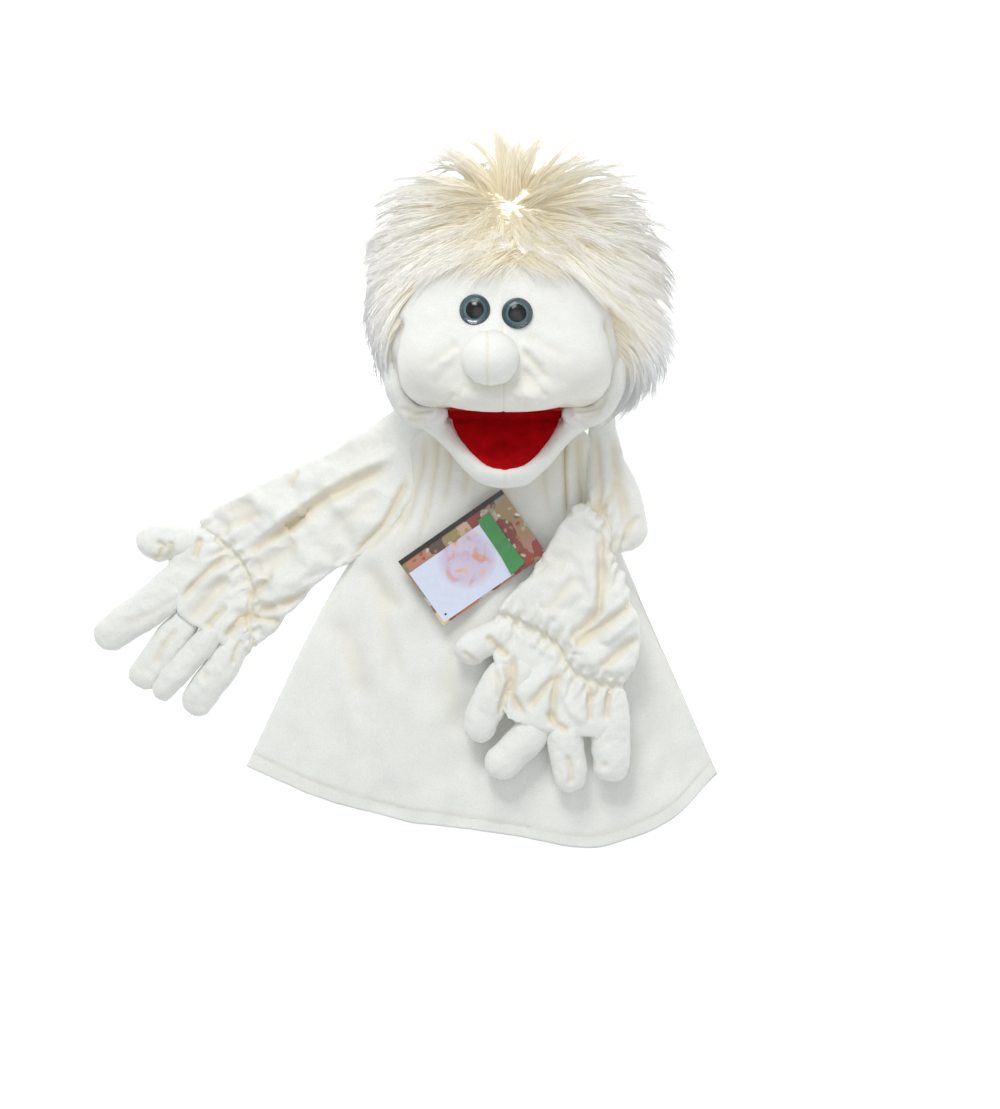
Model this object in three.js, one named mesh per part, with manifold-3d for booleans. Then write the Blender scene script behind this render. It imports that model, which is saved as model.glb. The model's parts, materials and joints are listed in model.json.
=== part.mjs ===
// A large plush hand puppet lying on its back on a table: a stuffed head with a moving mouth, a fur wig,
// an A-line dress that the player's arm goes into, and two sleeves that end in five-finger gloves.
// Millimetres. +X is the viewer's right, +Y runs from the hem to the crown, and +Z is up, out of the face.
// The origin is on the table, under the middle of the dress's back panel.
import * as THREE from "three";
import { mergeVertices } from "three/addons/utils/BufferGeometryUtils.js";
import Module from "manifold-3d";

const wasm = await Module();
wasm.setup();

// ---- Driving dimensions ----
const GAP = 0.4; // between pieces that touch
const CLOTH = 2.6; // thickness of the velour and its backing
const CENTRE_X = 7; // the head's middle plane

// Dress
const NECK_Y = 128;
const HEM_Y = -150; // at the side seams
const HEM_SAG = 68; // how much lower the hem is in the middle
const NECK_HALF = 66;
const HEM_HALF = 213;
const HEM_SHIFT = -21; // the dress lies a little to the left of the head
const HEM_RISE = 26; // height of the front panel's arch at the hem
const CHEST_RISE = 27; // and how much more at the neck

// Head
const HEAD_MIDDLE = new THREE.Vector3(CENTRE_X, 235, 98);
const HEAD_FORM = { x: 102, up: 128, down: 78, z: 86, power: 2.2, lowPower: 2.8 };
const FUR_MIDDLE = new THREE.Vector3(20, 288, 86);
const FUR_FORM = { x: 140, up: 130, down: 126, z: 86, power: 2.3, lowPower: 2.9 };
const PALATE_Y = 163.5; // underside of the upper mouth
const MOUTH_BACK_Z = 70;

// Jaw
const JAW_HINGE_Y = 162;
const JAW_HINGE_Z = 72;
const JAW_LENGTH = 82;
const JAW_HALF = 76;
const JAW_THICK = 22;
const JAW_OPEN = THREE.MathUtils.degToRad(42); // how far the mouth hangs open at rest

// Neck sleeve
const NECK_HALF_X = 60;
const NECK_HALF_Z = 28;
const NECK_Z = 32;
const NECK_PIVOT_Y = 152;
const NOD = THREE.MathUtils.degToRad(13); // room for the head to lift
const TILT = THREE.MathUtils.degToRad(7); // room for it to lean to each side

// ---- Materials ----
const finish = (color, roughness, metalness = 0) =>
  new THREE.MeshStandardMaterial({ color, roughness, metalness });
const VELOUR = finish(0xece9df, 0.95);
const FUR = finish(0xe8dfc8, 0.9);
const RED_FELT = finish(0xb00710, 0.95);
const FOAM = finish(0xf1e9c8, 0.95);
const BOARD = finish(0x3b3b3f, 0.7);
const TEAL = finish(0x2d5f66, 0.35);
const BLACK = finish(0x0c0c0e, 0.2);
const CLEAR = finish(0xdfe8ea, 0.05);
const WASHER = finish(0xf4f4f2, 0.5);
const ELASTIC = finish(0xf6f4ee, 0.8);
const PRINT = finish(0x6f4a3c, 0.6);
const CARD = finish(0xdde5f2, 0.55);
const RIBBON = finish(0x2f8f3a, 0.35);

const puppet = new THREE.Group();

// ---- Geometry helpers ----
function solidOf(geometry) {
  const bare = geometry.clone();
  for (const name of Object.keys(bare.attributes)) if (name !== "position") bare.deleteAttribute(name);
  const merged = mergeVertices(bare, 1e-3);
  return new wasm.Manifold(
    new wasm.Mesh({
      numProp: 3,
      vertProperties: new Float32Array(merged.attributes.position.array),
      triVerts: new Uint32Array(merged.index.array),
    }),
  );
}

function geometryOf(solid) {
  const mesh = solid.getMesh();
  const geometry = new THREE.BufferGeometry();
  geometry.setAttribute("position", new THREE.BufferAttribute(mesh.vertProperties, 3));
  geometry.setIndex(new THREE.BufferAttribute(mesh.triVerts, 1));
  geometry.computeVertexNormals();
  return geometry;
}

function addSolid(name, solid, material, parent = puppet) {
  const mesh = new THREE.Mesh(geometryOf(solid), material);
  mesh.name = name;
  parent.add(mesh);
  return mesh;
}

// The largest of a cut solid's pieces.
const mainBody = (solid) =>
  solid.decompose().reduce((best, body) => (body.volume() > best.volume() ? body : best));

const placed = (geometry, matrix) => solidOf(geometry.clone().applyMatrix4(matrix));

// An axis-aligned block between two corners.
function block(low, high) {
  const size = high.map((v, i) => v - low[i]);
  const middle = high.map((v, i) => (v + low[i]) / 2);
  return placed(new THREE.BoxGeometry(...size), new THREE.Matrix4().makeTranslation(...middle));
}

// A closed solid through a row of rings of equal point count, with flat ends.
function loft(rings) {
  const count = rings[0].length;
  const positions = rings.flat().flatMap((p) => [p.x, p.y, p.z]);
  const index = [];
  for (let i = 0; i + 1 < rings.length; i++)
    for (let j = 0; j < count; j++) {
      const a = i * count + j;
      const b = i * count + ((j + 1) % count);
      index.push(a, b, b + count, a, b + count, a + count);
    }
  for (const [ring, turn] of [[0, 1], [rings.length - 1, 0]]) {
    const middle = rings[ring].reduce((sum, p) => sum.add(p), new THREE.Vector3()).divideScalar(count);
    const hub = positions.length / 3;
    positions.push(middle.x, middle.y, middle.z);
    for (let j = 0; j < count; j++) {
      const a = ring * count + j;
      const b = ring * count + ((j + 1) % count);
      index.push(...(turn ? [hub, b, a] : [hub, a, b]));
    }
  }
  const geometry = new THREE.BufferGeometry();
  geometry.setAttribute("position", new THREE.Float32BufferAttribute(positions, 3));
  geometry.setIndex(index);
  const solid = solidOf(geometry);
  if (solid.volume() > 0) return solid;
  geometry.setIndex(index.reverse());
  return solidOf(geometry);
}

// A rounded-oval ring: |a/halfWidth|^power + |b/halfHeight|^power = 1.
function ovalRing(middle, across, up, halfWidth, halfHeight, power = 2.6, count = 24) {
  return Array.from({ length: count }, (_, i) => {
    const angle = (2 * Math.PI * i) / count;
    const c = Math.cos(angle);
    const s = Math.sin(angle);
    return middle
      .clone()
      .addScaledVector(across, halfWidth * Math.sign(c) * Math.abs(c) ** (2 / power))
      .addScaledVector(up, halfHeight * Math.sign(s) * Math.abs(s) ** (2 / power));
  });
}

// ---- Dress: two panels seamed at the sides, hollow between, open at the hem and the neck ----
function dressPoint(u, v, rise) {
  const hemY = HEM_Y - HEM_SAG * (1 - u * u);
  const halfWidth = NECK_HALF + (HEM_HALF - NECK_HALF) * v;
  return new THREE.Vector3(
    CENTRE_X + HEM_SHIFT * v + u * halfWidth,
    NECK_Y + (hemY - NECK_Y) * v,
    rise,
  );
}

const archRise = (u, v) => (HEM_RISE + CHEST_RISE * (1 - v) ** 2) * (1 - u * u) ** 0.9;

function dressPanel(lowerRise, upperRise, across, along) {
  const rings = Array.from({ length: along + 1 }, (_, i) => {
    const v = i / along;
    const us = Array.from({ length: across + 1 }, (_, j) => -Math.cos((Math.PI * j) / across));
    return [
      ...us.map((u) => dressPoint(u, v, upperRise(u, v))),
      ...us.reverse().map((u) => dressPoint(u, v, lowerRise(u, v))),
    ];
  });
  return loft(rings);
}

const LEFT_SHOULDER = new THREE.Vector3(-96, 113, 0);
const LEFT_DISC = 42;
const LEFT_WAY = new THREE.Vector3(-0.834, -0.551, 0);
const LEFT_SWING = THREE.MathUtils.degToRad(7); // how far the armhole lets the sleeve turn towards the dress
const sleeveRoom = placed(
  new THREE.BoxGeometry(95, 2 * LEFT_DISC + 12, 200).translate(47.5, 0, 0),
  new THREE.Matrix4()
    .makeRotationZ(Math.atan2(LEFT_WAY.y, LEFT_WAY.x) + LEFT_SWING)
    .setPosition(LEFT_SHOULDER),
);
const armhole = placed(
  new THREE.CylinderGeometry(LEFT_DISC + 2, LEFT_DISC + 2, 200, 24),
  new THREE.Matrix4().makeRotationX(Math.PI / 2).setPosition(LEFT_SHOULDER),
).add(sleeveRoom);
addSolid("dress_back_panel", dressPanel(() => 0, () => CLOTH, 12, 8).subtract(armhole), VELOUR);
const frontLow = (u, v) => CLOTH + GAP + archRise(u, v);
addSolid("dress_front_panel", dressPanel(frontLow, (u, v) => frontLow(u, v) + CLOTH, 12, 6).subtract(armhole), VELOUR);

// ---- Head: one rounded form that the skin, the foam and the fur are all cut from ----
function formRadius(d, form) {
  const low = THREE.MathUtils.smoothstep(-d.y, -0.3, 0.3);
  const power = form.power + (form.lowPower - form.power) * low;
  const halfY = d.y > 0 ? form.up : form.down;
  const sum = Math.abs(d.x / form.x) ** power + Math.abs(d.y / halfY) ** power + Math.abs(d.z / form.z) ** power;
  return sum ** (-1 / power);
}

function formSolid(middle, form, offset = 0) {
  const geometry = new THREE.SphereGeometry(1, 24, 16);
  const position = geometry.attributes.position;
  const d = new THREE.Vector3();
  for (let i = 0; i < position.count; i++) {
    d.fromBufferAttribute(position, i).normalize();
    d.multiplyScalar(formRadius(d, form) + offset).add(middle);
    position.setXYZ(i, d.x, d.y, d.z);
  }
  return solidOf(geometry);
}

const headSolid = (offset) => formSolid(HEAD_MIDDLE, HEAD_FORM, offset);

// Height of the face above the table at (x, y).
function faceHeight(x, y) {
  let low = HEAD_MIDDLE.z;
  let high = HEAD_MIDDLE.z + HEAD_FORM.z + 10;
  for (let i = 0; i < 40; i++) {
    const middle = (low + high) / 2;
    const d = new THREE.Vector3(x, y, middle).sub(HEAD_MIDDLE);
    if (d.length() < formRadius(d.clone().normalize(), HEAD_FORM)) low = middle;
    else high = middle;
  }
  return low;
}

const headOuter = headSolid(0);
const headInner = headSolid(-CLOTH);
const foamOuter = headSolid(-CLOTH - GAP);
const plateOuter = headSolid(-CLOTH - 2 * GAP);
const headClearance = headSolid(GAP);

const FAR = 400;
const mouthRoom = block([-FAR, 0, MOUTH_BACK_Z], [FAR, PALATE_Y, FAR]);
const aboveTable = (z, top) => block([-FAR, -FAR, z], [FAR, 2 * FAR, top]);

function ellipticBar(halfX, halfZ, fromY, toY) {
  return placed(
    new THREE.CylinderGeometry(1, 1, toY - fromY, 24),
    new THREE.Matrix4()
      .makeTranslation(CENTRE_X, (fromY + toY) / 2, NECK_Z)
      .multiply(new THREE.Matrix4().makeScale(halfX, 1, halfZ)),
  );
}

const handPassage = ellipticBar(NECK_HALF_X - 10, NECK_HALF_Z - 6, 140, 195);

// The hand goes in at the neck and the fingers lie over the upper mouth plate.
const HAND_HALF = 40;
const cavityOutline = new THREE.Shape([
  new THREE.Vector2(150, 14),
  new THREE.Vector2(212, 14),
  new THREE.Vector2(212, 148),
  new THREE.Vector2(173, 148),
  new THREE.Vector2(173, 62),
  new THREE.Vector2(150, 58),
]);
// The outline's own x and y become the part's Y and Z.
const acrossX = new THREE.Matrix4().makeBasis(
  new THREE.Vector3(0, 1, 0),
  new THREE.Vector3(0, 0, 1),
  new THREE.Vector3(1, 0, 0),
);
const handCavity = placed(
  new THREE.ExtrudeGeometry(cavityOutline, { depth: 2 * HAND_HALF, bevelEnabled: false }),
  new THREE.Matrix4().makeTranslation(CENTRE_X - HAND_HALF, 0, 0).multiply(acrossX),
);

// ---- Eyes: a clear dome over a pupil and a coloured disc whose stem goes through the skin to a washer ----
const EYES = { left: [-18, 246], right: [17, 243] };
const EYE_RADIUS = 13;
const STEM_RADIUS = 2.4;

function eyeFrame(x, y) {
  const step = 4;
  const normal = new THREE.Vector3(
    -(faceHeight(x + step, y) - faceHeight(x - step, y)) / (2 * step),
    -(faceHeight(x, y + step) - faceHeight(x, y - step)) / (2 * step),
    1,
  ).normalize();
  const turn = new THREE.Quaternion().setFromUnitVectors(new THREE.Vector3(0, 1, 0), normal);
  return new THREE.Matrix4().compose(new THREE.Vector3(x, y, faceHeight(x, y)), turn, new THREE.Vector3(1, 1, 1));
}

// A turned solid: pairs of radius and height along the eye's own axis.
const turned = (points, segments = 18) =>
  new THREE.LatheGeometry(points.map(([r, h]) => new THREE.Vector2(r, h)), segments);

const domeArc = Array.from({ length: 5 }, (_, i) => {
  const angle = (Math.PI / 2) * (i / 4);
  return [i === 4 ? 0 : (EYE_RADIUS - 0.4) * Math.cos(angle), 2.2 + 6.6 * Math.sin(angle)];
});
const washerProfile = [[2.8, -6.6], [8.5, -6.6], [8.5, -4.9], [2.8, -4.9], [2.8, -6.6]];
const eyeShapes = {
  iris: [turned([[0, -15], [STEM_RADIUS, -15], [STEM_RADIUS, 0.6], [EYE_RADIUS, 0.6], [EYE_RADIUS, 1.8], [0, 1.8]]), TEAL],
  pupil: [turned([[0, 2.2], [7.4, 2.2], [7.0, 3.2], [0, 3.2]]), BLACK],
  lens: [turned([[0, 3.6], [7.9, 3.6], [7.9, 2.2], ...domeArc]), CLEAR],
  washer: [turned(washerProfile), WASHER],
};
let eyeHoles = null;
let eyeRooms = null;
for (const [side, [x, y]] of Object.entries(EYES)) {
  const frame = eyeFrame(x, y);
  const hole = placed(new THREE.CylinderGeometry(2.9, 2.9, 40, 10), frame);
  const room = placed(turned([[0, -18], [3.2, -18], [3.2, -7.4], [9.6, -7.4], [9.6, 4], [0, 4]], 12), frame);
  eyeHoles = eyeHoles ? eyeHoles.add(hole) : hole;
  eyeRooms = eyeRooms ? eyeRooms.add(room) : room;
  for (const [piece, [geometry, material]] of Object.entries(eyeShapes))
    addSolid(`${side}_eye_${piece}`, placed(geometry, frame), material);
}

// ---- Head skin, foam and mouth plates ----
const BACK_SEAM_Z = 60; // where the face panels meet the back-of-head panel
const skin = headOuter.subtract(headInner).subtract(mouthRoom).subtract(eyeHoles).subtract(handPassage);
const leftHalf = block([-FAR, -FAR, BACK_SEAM_Z + GAP], [CENTRE_X - GAP / 2, 2 * FAR, FAR]);
const rightHalf = block([CENTRE_X + GAP / 2, -FAR, BACK_SEAM_Z + GAP], [FAR, 2 * FAR, FAR]);
addSolid("face_skin_left", skin.intersect(leftHalf), VELOUR);
addSolid("face_skin_right", skin.intersect(rightHalf), VELOUR);
addSolid("head_back_skin", skin.intersect(aboveTable(-10, BACK_SEAM_Z)), VELOUR);

const PLATE_LOW = PALATE_Y + 2.8;
const PLATE_HIGH = PLATE_LOW + 2;
const foamCut = block([-FAR, 0, MOUTH_BACK_Z], [FAR, PLATE_HIGH + GAP, FAR]);
addSolid(
  "head_foam",
  foamOuter.subtract(foamCut).subtract(eyeRooms).subtract(handCavity).subtract(handPassage),
  FOAM,
);
const mouthSlab = (low, high, front) => block([-JAW_HALF, low, MOUTH_BACK_Z + 2], [JAW_HALF + 2 * CENTRE_X, high, front]);
addSolid("upper_mouth_plate", plateOuter.intersect(mouthSlab(PLATE_LOW, PLATE_HIGH, FAR)), BOARD);
addSolid("upper_mouth_lining", plateOuter.intersect(mouthSlab(PALATE_Y + 0.8, PLATE_LOW - GAP, FAR)), RED_FELT);

const NOSE_RADIUS = 24;
const NOSE = [-3, 204];
const noseBall = placed(
  new THREE.SphereGeometry(NOSE_RADIUS, 18, 12),
  new THREE.Matrix4().makeTranslation(...NOSE, faceHeight(...NOSE) + 5),
);
addSolid("nose", noseBall.subtract(headClearance), VELOUR);

// ---- Wig: fur panels over everything but the face ----
const faceWindow = placed(
  new THREE.CylinderGeometry(1, 1, FAR, 32),
  new THREE.Matrix4()
    .makeTranslation(CENTRE_X, 205, 62 + FAR / 2)
    .multiply(new THREE.Matrix4().makeRotationX(Math.PI / 2))
    .multiply(new THREE.Matrix4().makeScale(101, 1, 97)),
);
const NAPE_Y = 172;
const fur = formSolid(FUR_MIDDLE, FUR_FORM)
  .subtract(headClearance)
  .subtract(faceWindow)
  .subtract(block([-FAR, -FAR, -FAR], [FAR, NAPE_Y, FAR]))
  .subtract(ellipticBar(NECK_HALF_X + 3, NECK_HALF_Z + 3, 100, 220));
const FUR_SEAM_Z = 45;
addSolid("wig_left", mainBody(fur.intersect(block([-FAR, 0, FUR_SEAM_Z + GAP], [CENTRE_X - GAP / 2, 600, FAR]))), FUR);
addSolid("wig_right", mainBody(fur.intersect(block([CENTRE_X + GAP / 2, 0, FUR_SEAM_Z + GAP], [FAR, 600, FAR]))), FUR);
addSolid("wig_back", fur.intersect(aboveTable(-10, FUR_SEAM_Z)), FUR);

// ---- Neck sleeve ----
// Everything that ends up below the neck's lower end when it leans by an angle.
const belowNeck = (lean) =>
  placed(
    new THREE.BoxGeometry(FAR, FAR, FAR).translate(0, -FAR / 2, 0),
    new THREE.Matrix4().makeRotationZ(lean).setPosition(CENTRE_X, NECK_Y + 0.8, NECK_Z),
  );

function noddedHead(angle) {
  const pivot = new THREE.Matrix4().makeTranslation(CENTRE_X, NECK_PIVOT_Y, NECK_Z);
  const turn = pivot.clone().multiply(new THREE.Matrix4().makeRotationX(angle)).multiply(pivot.clone().invert());
  return placed(geometryOf(headSolid(0.8)), turn);
}

addSolid(
  "neck_sleeve",
  mainBody(
    ellipticBar(NECK_HALF_X, NECK_HALF_Z, NECK_Y - 5, 178)
      .subtract(ellipticBar(NECK_HALF_X - CLOTH, NECK_HALF_Z - CLOTH, 100, 200))
      .subtract(belowNeck(TILT))
      .subtract(belowNeck(-TILT))
      .subtract(noddedHead(0))
      .subtract(noddedHead(NOD / 2))
      .subtract(noddedHead(NOD)),
  ),
  VELOUR,
);

// ---- Jaw, built flat in its own frame: x across, y from the hinge to the lip, z down to the chin ----
const jawFrame = new THREE.Matrix4()
  .makeBasis(
    new THREE.Vector3(1, 0, 0),
    new THREE.Vector3(0, -Math.sin(JAW_OPEN), Math.cos(JAW_OPEN)),
    new THREE.Vector3(0, -Math.cos(JAW_OPEN), -Math.sin(JAW_OPEN)),
  )
  .setPosition(CENTRE_X, JAW_HINGE_Y, JAW_HINGE_Z);

const jawHalf = (s) => JAW_HALF * Math.max(0, 1 - (Math.max(s, 0) / JAW_LENGTH) ** 2.2) ** 0.62;

function jawPad(offset) {
  const rings = [];
  const steps = 7;
  for (let i = 0; i <= steps; i++) {
    const s = 1 + (JAW_LENGTH - 3.5 - offset * -0.6) * (i / steps) ** 0.9;
    const roundOff = Math.sqrt(Math.max(0, 1 - (s / (JAW_LENGTH + 1)) ** 6));
    rings.push(
      ovalRing(
        new THREE.Vector3(0, s, JAW_THICK / 2),
        new THREE.Vector3(1, 0, 0),
        new THREE.Vector3(0, 0, 1),
        Math.max(2, jawHalf(s) + offset),
        Math.max(1, (JAW_THICK / 2) * roundOff + offset),
        2.8,
        20,
      ),
    );
  }
  return loft(rings);
}

function jawSlab(inset, low, high) {
  const outline = new THREE.Shape();
  const steps = 10;
  const reach = JAW_LENGTH - inset;
  for (let i = 0; i <= steps; i++) {
    const s = 5 + (reach - 5) * (i / steps);
    outline[i ? "lineTo" : "moveTo"](jawHalf((s * JAW_LENGTH) / reach) - inset * (1 - i / steps), s);
  }
  for (let i = steps - 1; i >= 0; i--) {
    const s = 5 + (reach - 5) * (i / steps);
    outline.lineTo(-(jawHalf((s * JAW_LENGTH) / reach) - inset * (1 - i / steps)), s);
  }
  return solidOf(new THREE.ExtrudeGeometry(outline, { depth: high - low, bevelEnabled: false }).translate(0, 0, low));
}

const JAW_BACK_Z = 69; // the jaw stops above the neck
const jawRoom = aboveTable(JAW_BACK_Z, FAR).intersect(block([-FAR, 0, 0], [FAR, JAW_HINGE_Y - 0.6, FAR]));
const inJawFrame = (solid) => placed(geometryOf(solid), jawFrame).intersect(jawRoom);
addSolid("jaw_skin", mainBody(inJawFrame(jawPad(0).subtract(jawPad(-CLOTH)).subtract(jawSlab(9, -5, 5)))), VELOUR);
addSolid(
  "jaw_foam",
  inJawFrame(jawPad(-CLOTH - GAP).intersect(block([-FAR, 0, 5.4], [FAR, FAR, 60]))),
  FOAM,
);
addSolid("lower_mouth_plate", inJawFrame(jawSlab(9.6, 2.8, 4.8)), BOARD);
addSolid("lower_mouth_lining", inJawFrame(jawSlab(9.6, 0.8, 2.4)), RED_FELT);

// ---- Arms: an upper sleeve, a forearm sleeve, two elastics and a glove with five fingers each ----
const UP = new THREE.Vector3(0, 0, 1);

// An arm's own frame: s runs from its base to the fingertips, n towards the little finger's side.
function armFrame(base, direction) {
  const along = direction.clone().normalize();
  const across = new THREE.Vector3().crossVectors(UP, along);
  return { base, along, across };
}

const armPoint = (frame, s, n, z) =>
  frame.base.clone().addScaledVector(frame.along, s).addScaledVector(frame.across, n).setZ(z);

// A flat padded tube between two stations, from rows of [s, half width].
function armPad(frame, rows, low, high, inset = 0, count = 18) {
  const middle = (low + high) / 2;
  return loft(
    rows.map(([s, halfWidth]) =>
      ovalRing(
        armPoint(frame, s, 0, middle),
        frame.across,
        UP,
        Math.max(1, halfWidth - inset),
        (high - low) / 2 - inset,
        2.8,
        count,
      ),
    ),
  );
}

// Rows that start as a half circle about s = 0, so that the pad can turn about it.
const roundStart = (radius) => [-1, -0.92, -0.7, -0.38].map((k) => [k * radius, radius * Math.sqrt(1 - k * k)]);

function elasticRing(frame, s, width, halfWidth, low, high) {
  const outer = armPad(frame, [[s, halfWidth], [s + width, halfWidth]], low, high);
  const inner = armPad(frame, [[s - 1, halfWidth], [s + width + 1, halfWidth]], low, high, 1.6);
  return outer.subtract(inner);
}

const FINGER_TIP = [[0.72, 1], [0.88, 0.86], [0.97, 0.55], [1, 0.2]];

// A finger: hinge point [s, n], the way it points, its length and half width.
function finger(frame, [s, n], [ds, dn], length, halfWidth, low, high) {
  const along = new THREE.Vector3()
    .addScaledVector(frame.along, ds)
    .addScaledVector(frame.across, dn)
    .normalize();
  const across = new THREE.Vector3().crossVectors(UP, along);
  const base = armPoint(frame, s, n, 0);
  const own = { base, along, across };
  const rows = [[0, 0.94], [0.25, 0.94], ...FINGER_TIP].map(([at, share]) => [at * length, share * halfWidth, share]);
  const middle = (low + high) / 2;
  return loft(
    rows.map(([at, half, share]) =>
      ovalRing(armPoint(own, at, 0, middle), across, UP, half, ((high - low) / 2) * Math.min(1, share * 1.15), 2.6, 12),
    ),
  );
}

function glove(side, frame, palmRows, fingers, low, high) {
  let palm = armPad(frame, palmRows, low, high);
  const mouth = palmRows[0][0];
  const pocketRows = [[mouth - 1, palmRows[0][1] - 4], [mouth + 26, palmRows[0][1] - 12]];
  palm = palm.subtract(armPad(frame, pocketRows, low, high, CLOTH));
  for (const [name, hinge, way, length, halfWidth] of fingers) {
    palm = palm.subtract(fingerSlab(frame, hinge, way, halfWidth, low, high));
    addSolid(`${side}_${name}`, finger(frame, hinge, way, length, halfWidth, low + 1, high), VELOUR);
  }
  addSolid(`${side}_palm`, palm, VELOUR);
}

// Everything in front of a finger's hinge line, which the palm leaves free.
function fingerSlab(frame, [s, n], [ds, dn], halfWidth, low, high) {
  const along = new THREE.Vector3()
    .addScaledVector(frame.along, ds)
    .addScaledVector(frame.across, dn)
    .normalize();
  const across = new THREE.Vector3().crossVectors(UP, along);
  const basis = new THREE.Matrix4().makeBasis(along, across, along.clone().cross(across));
  basis.setPosition(armPoint(frame, s, n, (low + high) / 2));
  const reach = 120;
  return placed(
    new THREE.BoxGeometry(reach + 0.8, 2 * halfWidth + 1.6, 80).translate(reach / 2 - 0.4, 0, 0),
    basis,
  );
}

// Left arm, flat on the table.
const left = armFrame(LEFT_SHOULDER, LEFT_WAY);
const LEFT_LOW = 0.5;
const LEFT_HIGH = 28;
addSolid(
  "left_upper_sleeve",
  armPad(left, [...roundStart(LEFT_DISC), [0, LEFT_DISC], [40, 44], [76, 47]], LEFT_LOW, LEFT_HIGH),
  VELOUR,
);
addSolid("left_sleeve_elastic", elasticRing(left, 76.5, 5, 44, LEFT_LOW + 1, LEFT_HIGH - 1), ELASTIC);
const leftForearmRows = [[82.5, 48], [110, 53], [140, 59], [165, 60]];
addSolid(
  "left_forearm_sleeve",
  armPad(left, leftForearmRows, LEFT_LOW, LEFT_HIGH).subtract(
    armPad(left, [[80, 48], ...leftForearmRows.slice(1, 3), [168, 60]], LEFT_LOW, LEFT_HIGH, CLOTH),
  ),
  VELOUR,
);
addSolid("left_wrist_elastic", elasticRing(left, 165.5, 5, 56, LEFT_LOW + 1, LEFT_HIGH - 1), ELASTIC);
glove(
  "left",
  left,
  [[171.5, 60], [188, 60], [204, 54], [216, 36]],
  [
    ["thumb", [181, -52], [51, -24], 56, 15],
    ["index_finger", [216, -32], [94, 9], 95, 15],
    ["middle_finger", [219, 2], [82, 32], 88, 14],
    ["ring_finger", [213, 32.5], [70, 22], 73, 12],
    ["little_finger", [203, 60], [60, 22], 62, 12],
  ],
  LEFT_LOW,
  LEFT_HIGH - 4,
);

// Right arm, lying over the dress.
const RIGHT_SHOULDER = new THREE.Vector3(106, 100, 0);
const RIGHT_DISC = 34;
const right = armFrame(RIGHT_SHOULDER, new THREE.Vector3(-0.4, -0.9165, 0));
const ELBOW = new THREE.Vector3(112, 66, 0);
const rightForearm = armFrame(ELBOW, right.along);
const WRIST = 118;
addSolid(
  "right_upper_sleeve",
  armPad(right, [...roundStart(RIGHT_DISC), [0, RIGHT_DISC], [22, 36]], 40, 61),
  VELOUR,
);
addSolid("right_sleeve_elastic", elasticRing(right, 22.5, 5, 34, 41, 60), ELASTIC);
const rightRows = [[0, 40], [40, 48], [80, 56], [WRIST - 7, 58]];
addSolid(
  "right_forearm_sleeve",
  armPad(rightForearm, rightRows, 47, 70).subtract(
    armPad(rightForearm, [[-3, 40], ...rightRows.slice(1, 3), [WRIST, 58]], 47, 70, CLOTH),
  ),
  VELOUR,
);
addSolid("right_wrist_elastic", elasticRing(rightForearm, WRIST - 6.5, 5, 54, 48, 69), ELASTIC);
const rightHand = armFrame(armPoint(rightForearm, WRIST, 0, 0), right.along);
glove(
  "right",
  rightHand,
  [[0, 58], [16, 60], [36, 54], [50, 38]],
  [
    ["thumb", [14, -58], [36, -24], 48, 13],
    ["index_finger", [46, -40], [60, -8], 62, 14],
    ["middle_finger", [52, -8], [75, -10], 78, 14],
    ["ring_finger", [50, 23], [62, 30], 70, 13],
    ["little_finger", [36, 51], [57, 34], 64, 12.5],
  ],
  41,
  63,
);

// ---- Swing tag: a booklet with a card held on it by a ribbon ----
const TAG_LONG = 112;
const TAG_SHORT = 70;
const tag = new THREE.Group();
tag.position.set(4, 99, 59);
tag.rotation.set(THREE.MathUtils.degToRad(7.4), 0, THREE.MathUtils.degToRad(-145), "XYZ");
puppet.add(tag);
// In the tag's frame x runs along the long edge and y towards the hem.
function leaf(name, [x0, y0], [x1, y1], low, high, material) {
  const mesh = new THREE.Mesh(new THREE.BoxGeometry(x1 - x0, y1 - y0, high - low), material);
  mesh.position.set((x0 + x1) / 2, (y0 + y1) / 2, (low + high) / 2);
  mesh.name = name;
  tag.add(mesh);
}
leaf("tag_booklet", [0, 0], [TAG_LONG, TAG_SHORT], 0, 2, PRINT);
leaf("tag_card", [34, 14], [TAG_LONG - 2, TAG_SHORT - 2], 2.4, 3.2, CARD);
leaf("tag_ribbon", [20, 10], [33, TAG_SHORT - 4], 2.4, 3.4, RIBBON);

export default puppet;
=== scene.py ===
# The looks of a large plush moving-mouth hand puppet lying on its back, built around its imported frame.
# Shapes are worked out in millimetres and turned into metres when a mesh is made. +X is the viewer's right,
# +Y runs from the hem to the crown, and +Z is up from the table.
import json
import math

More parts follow.
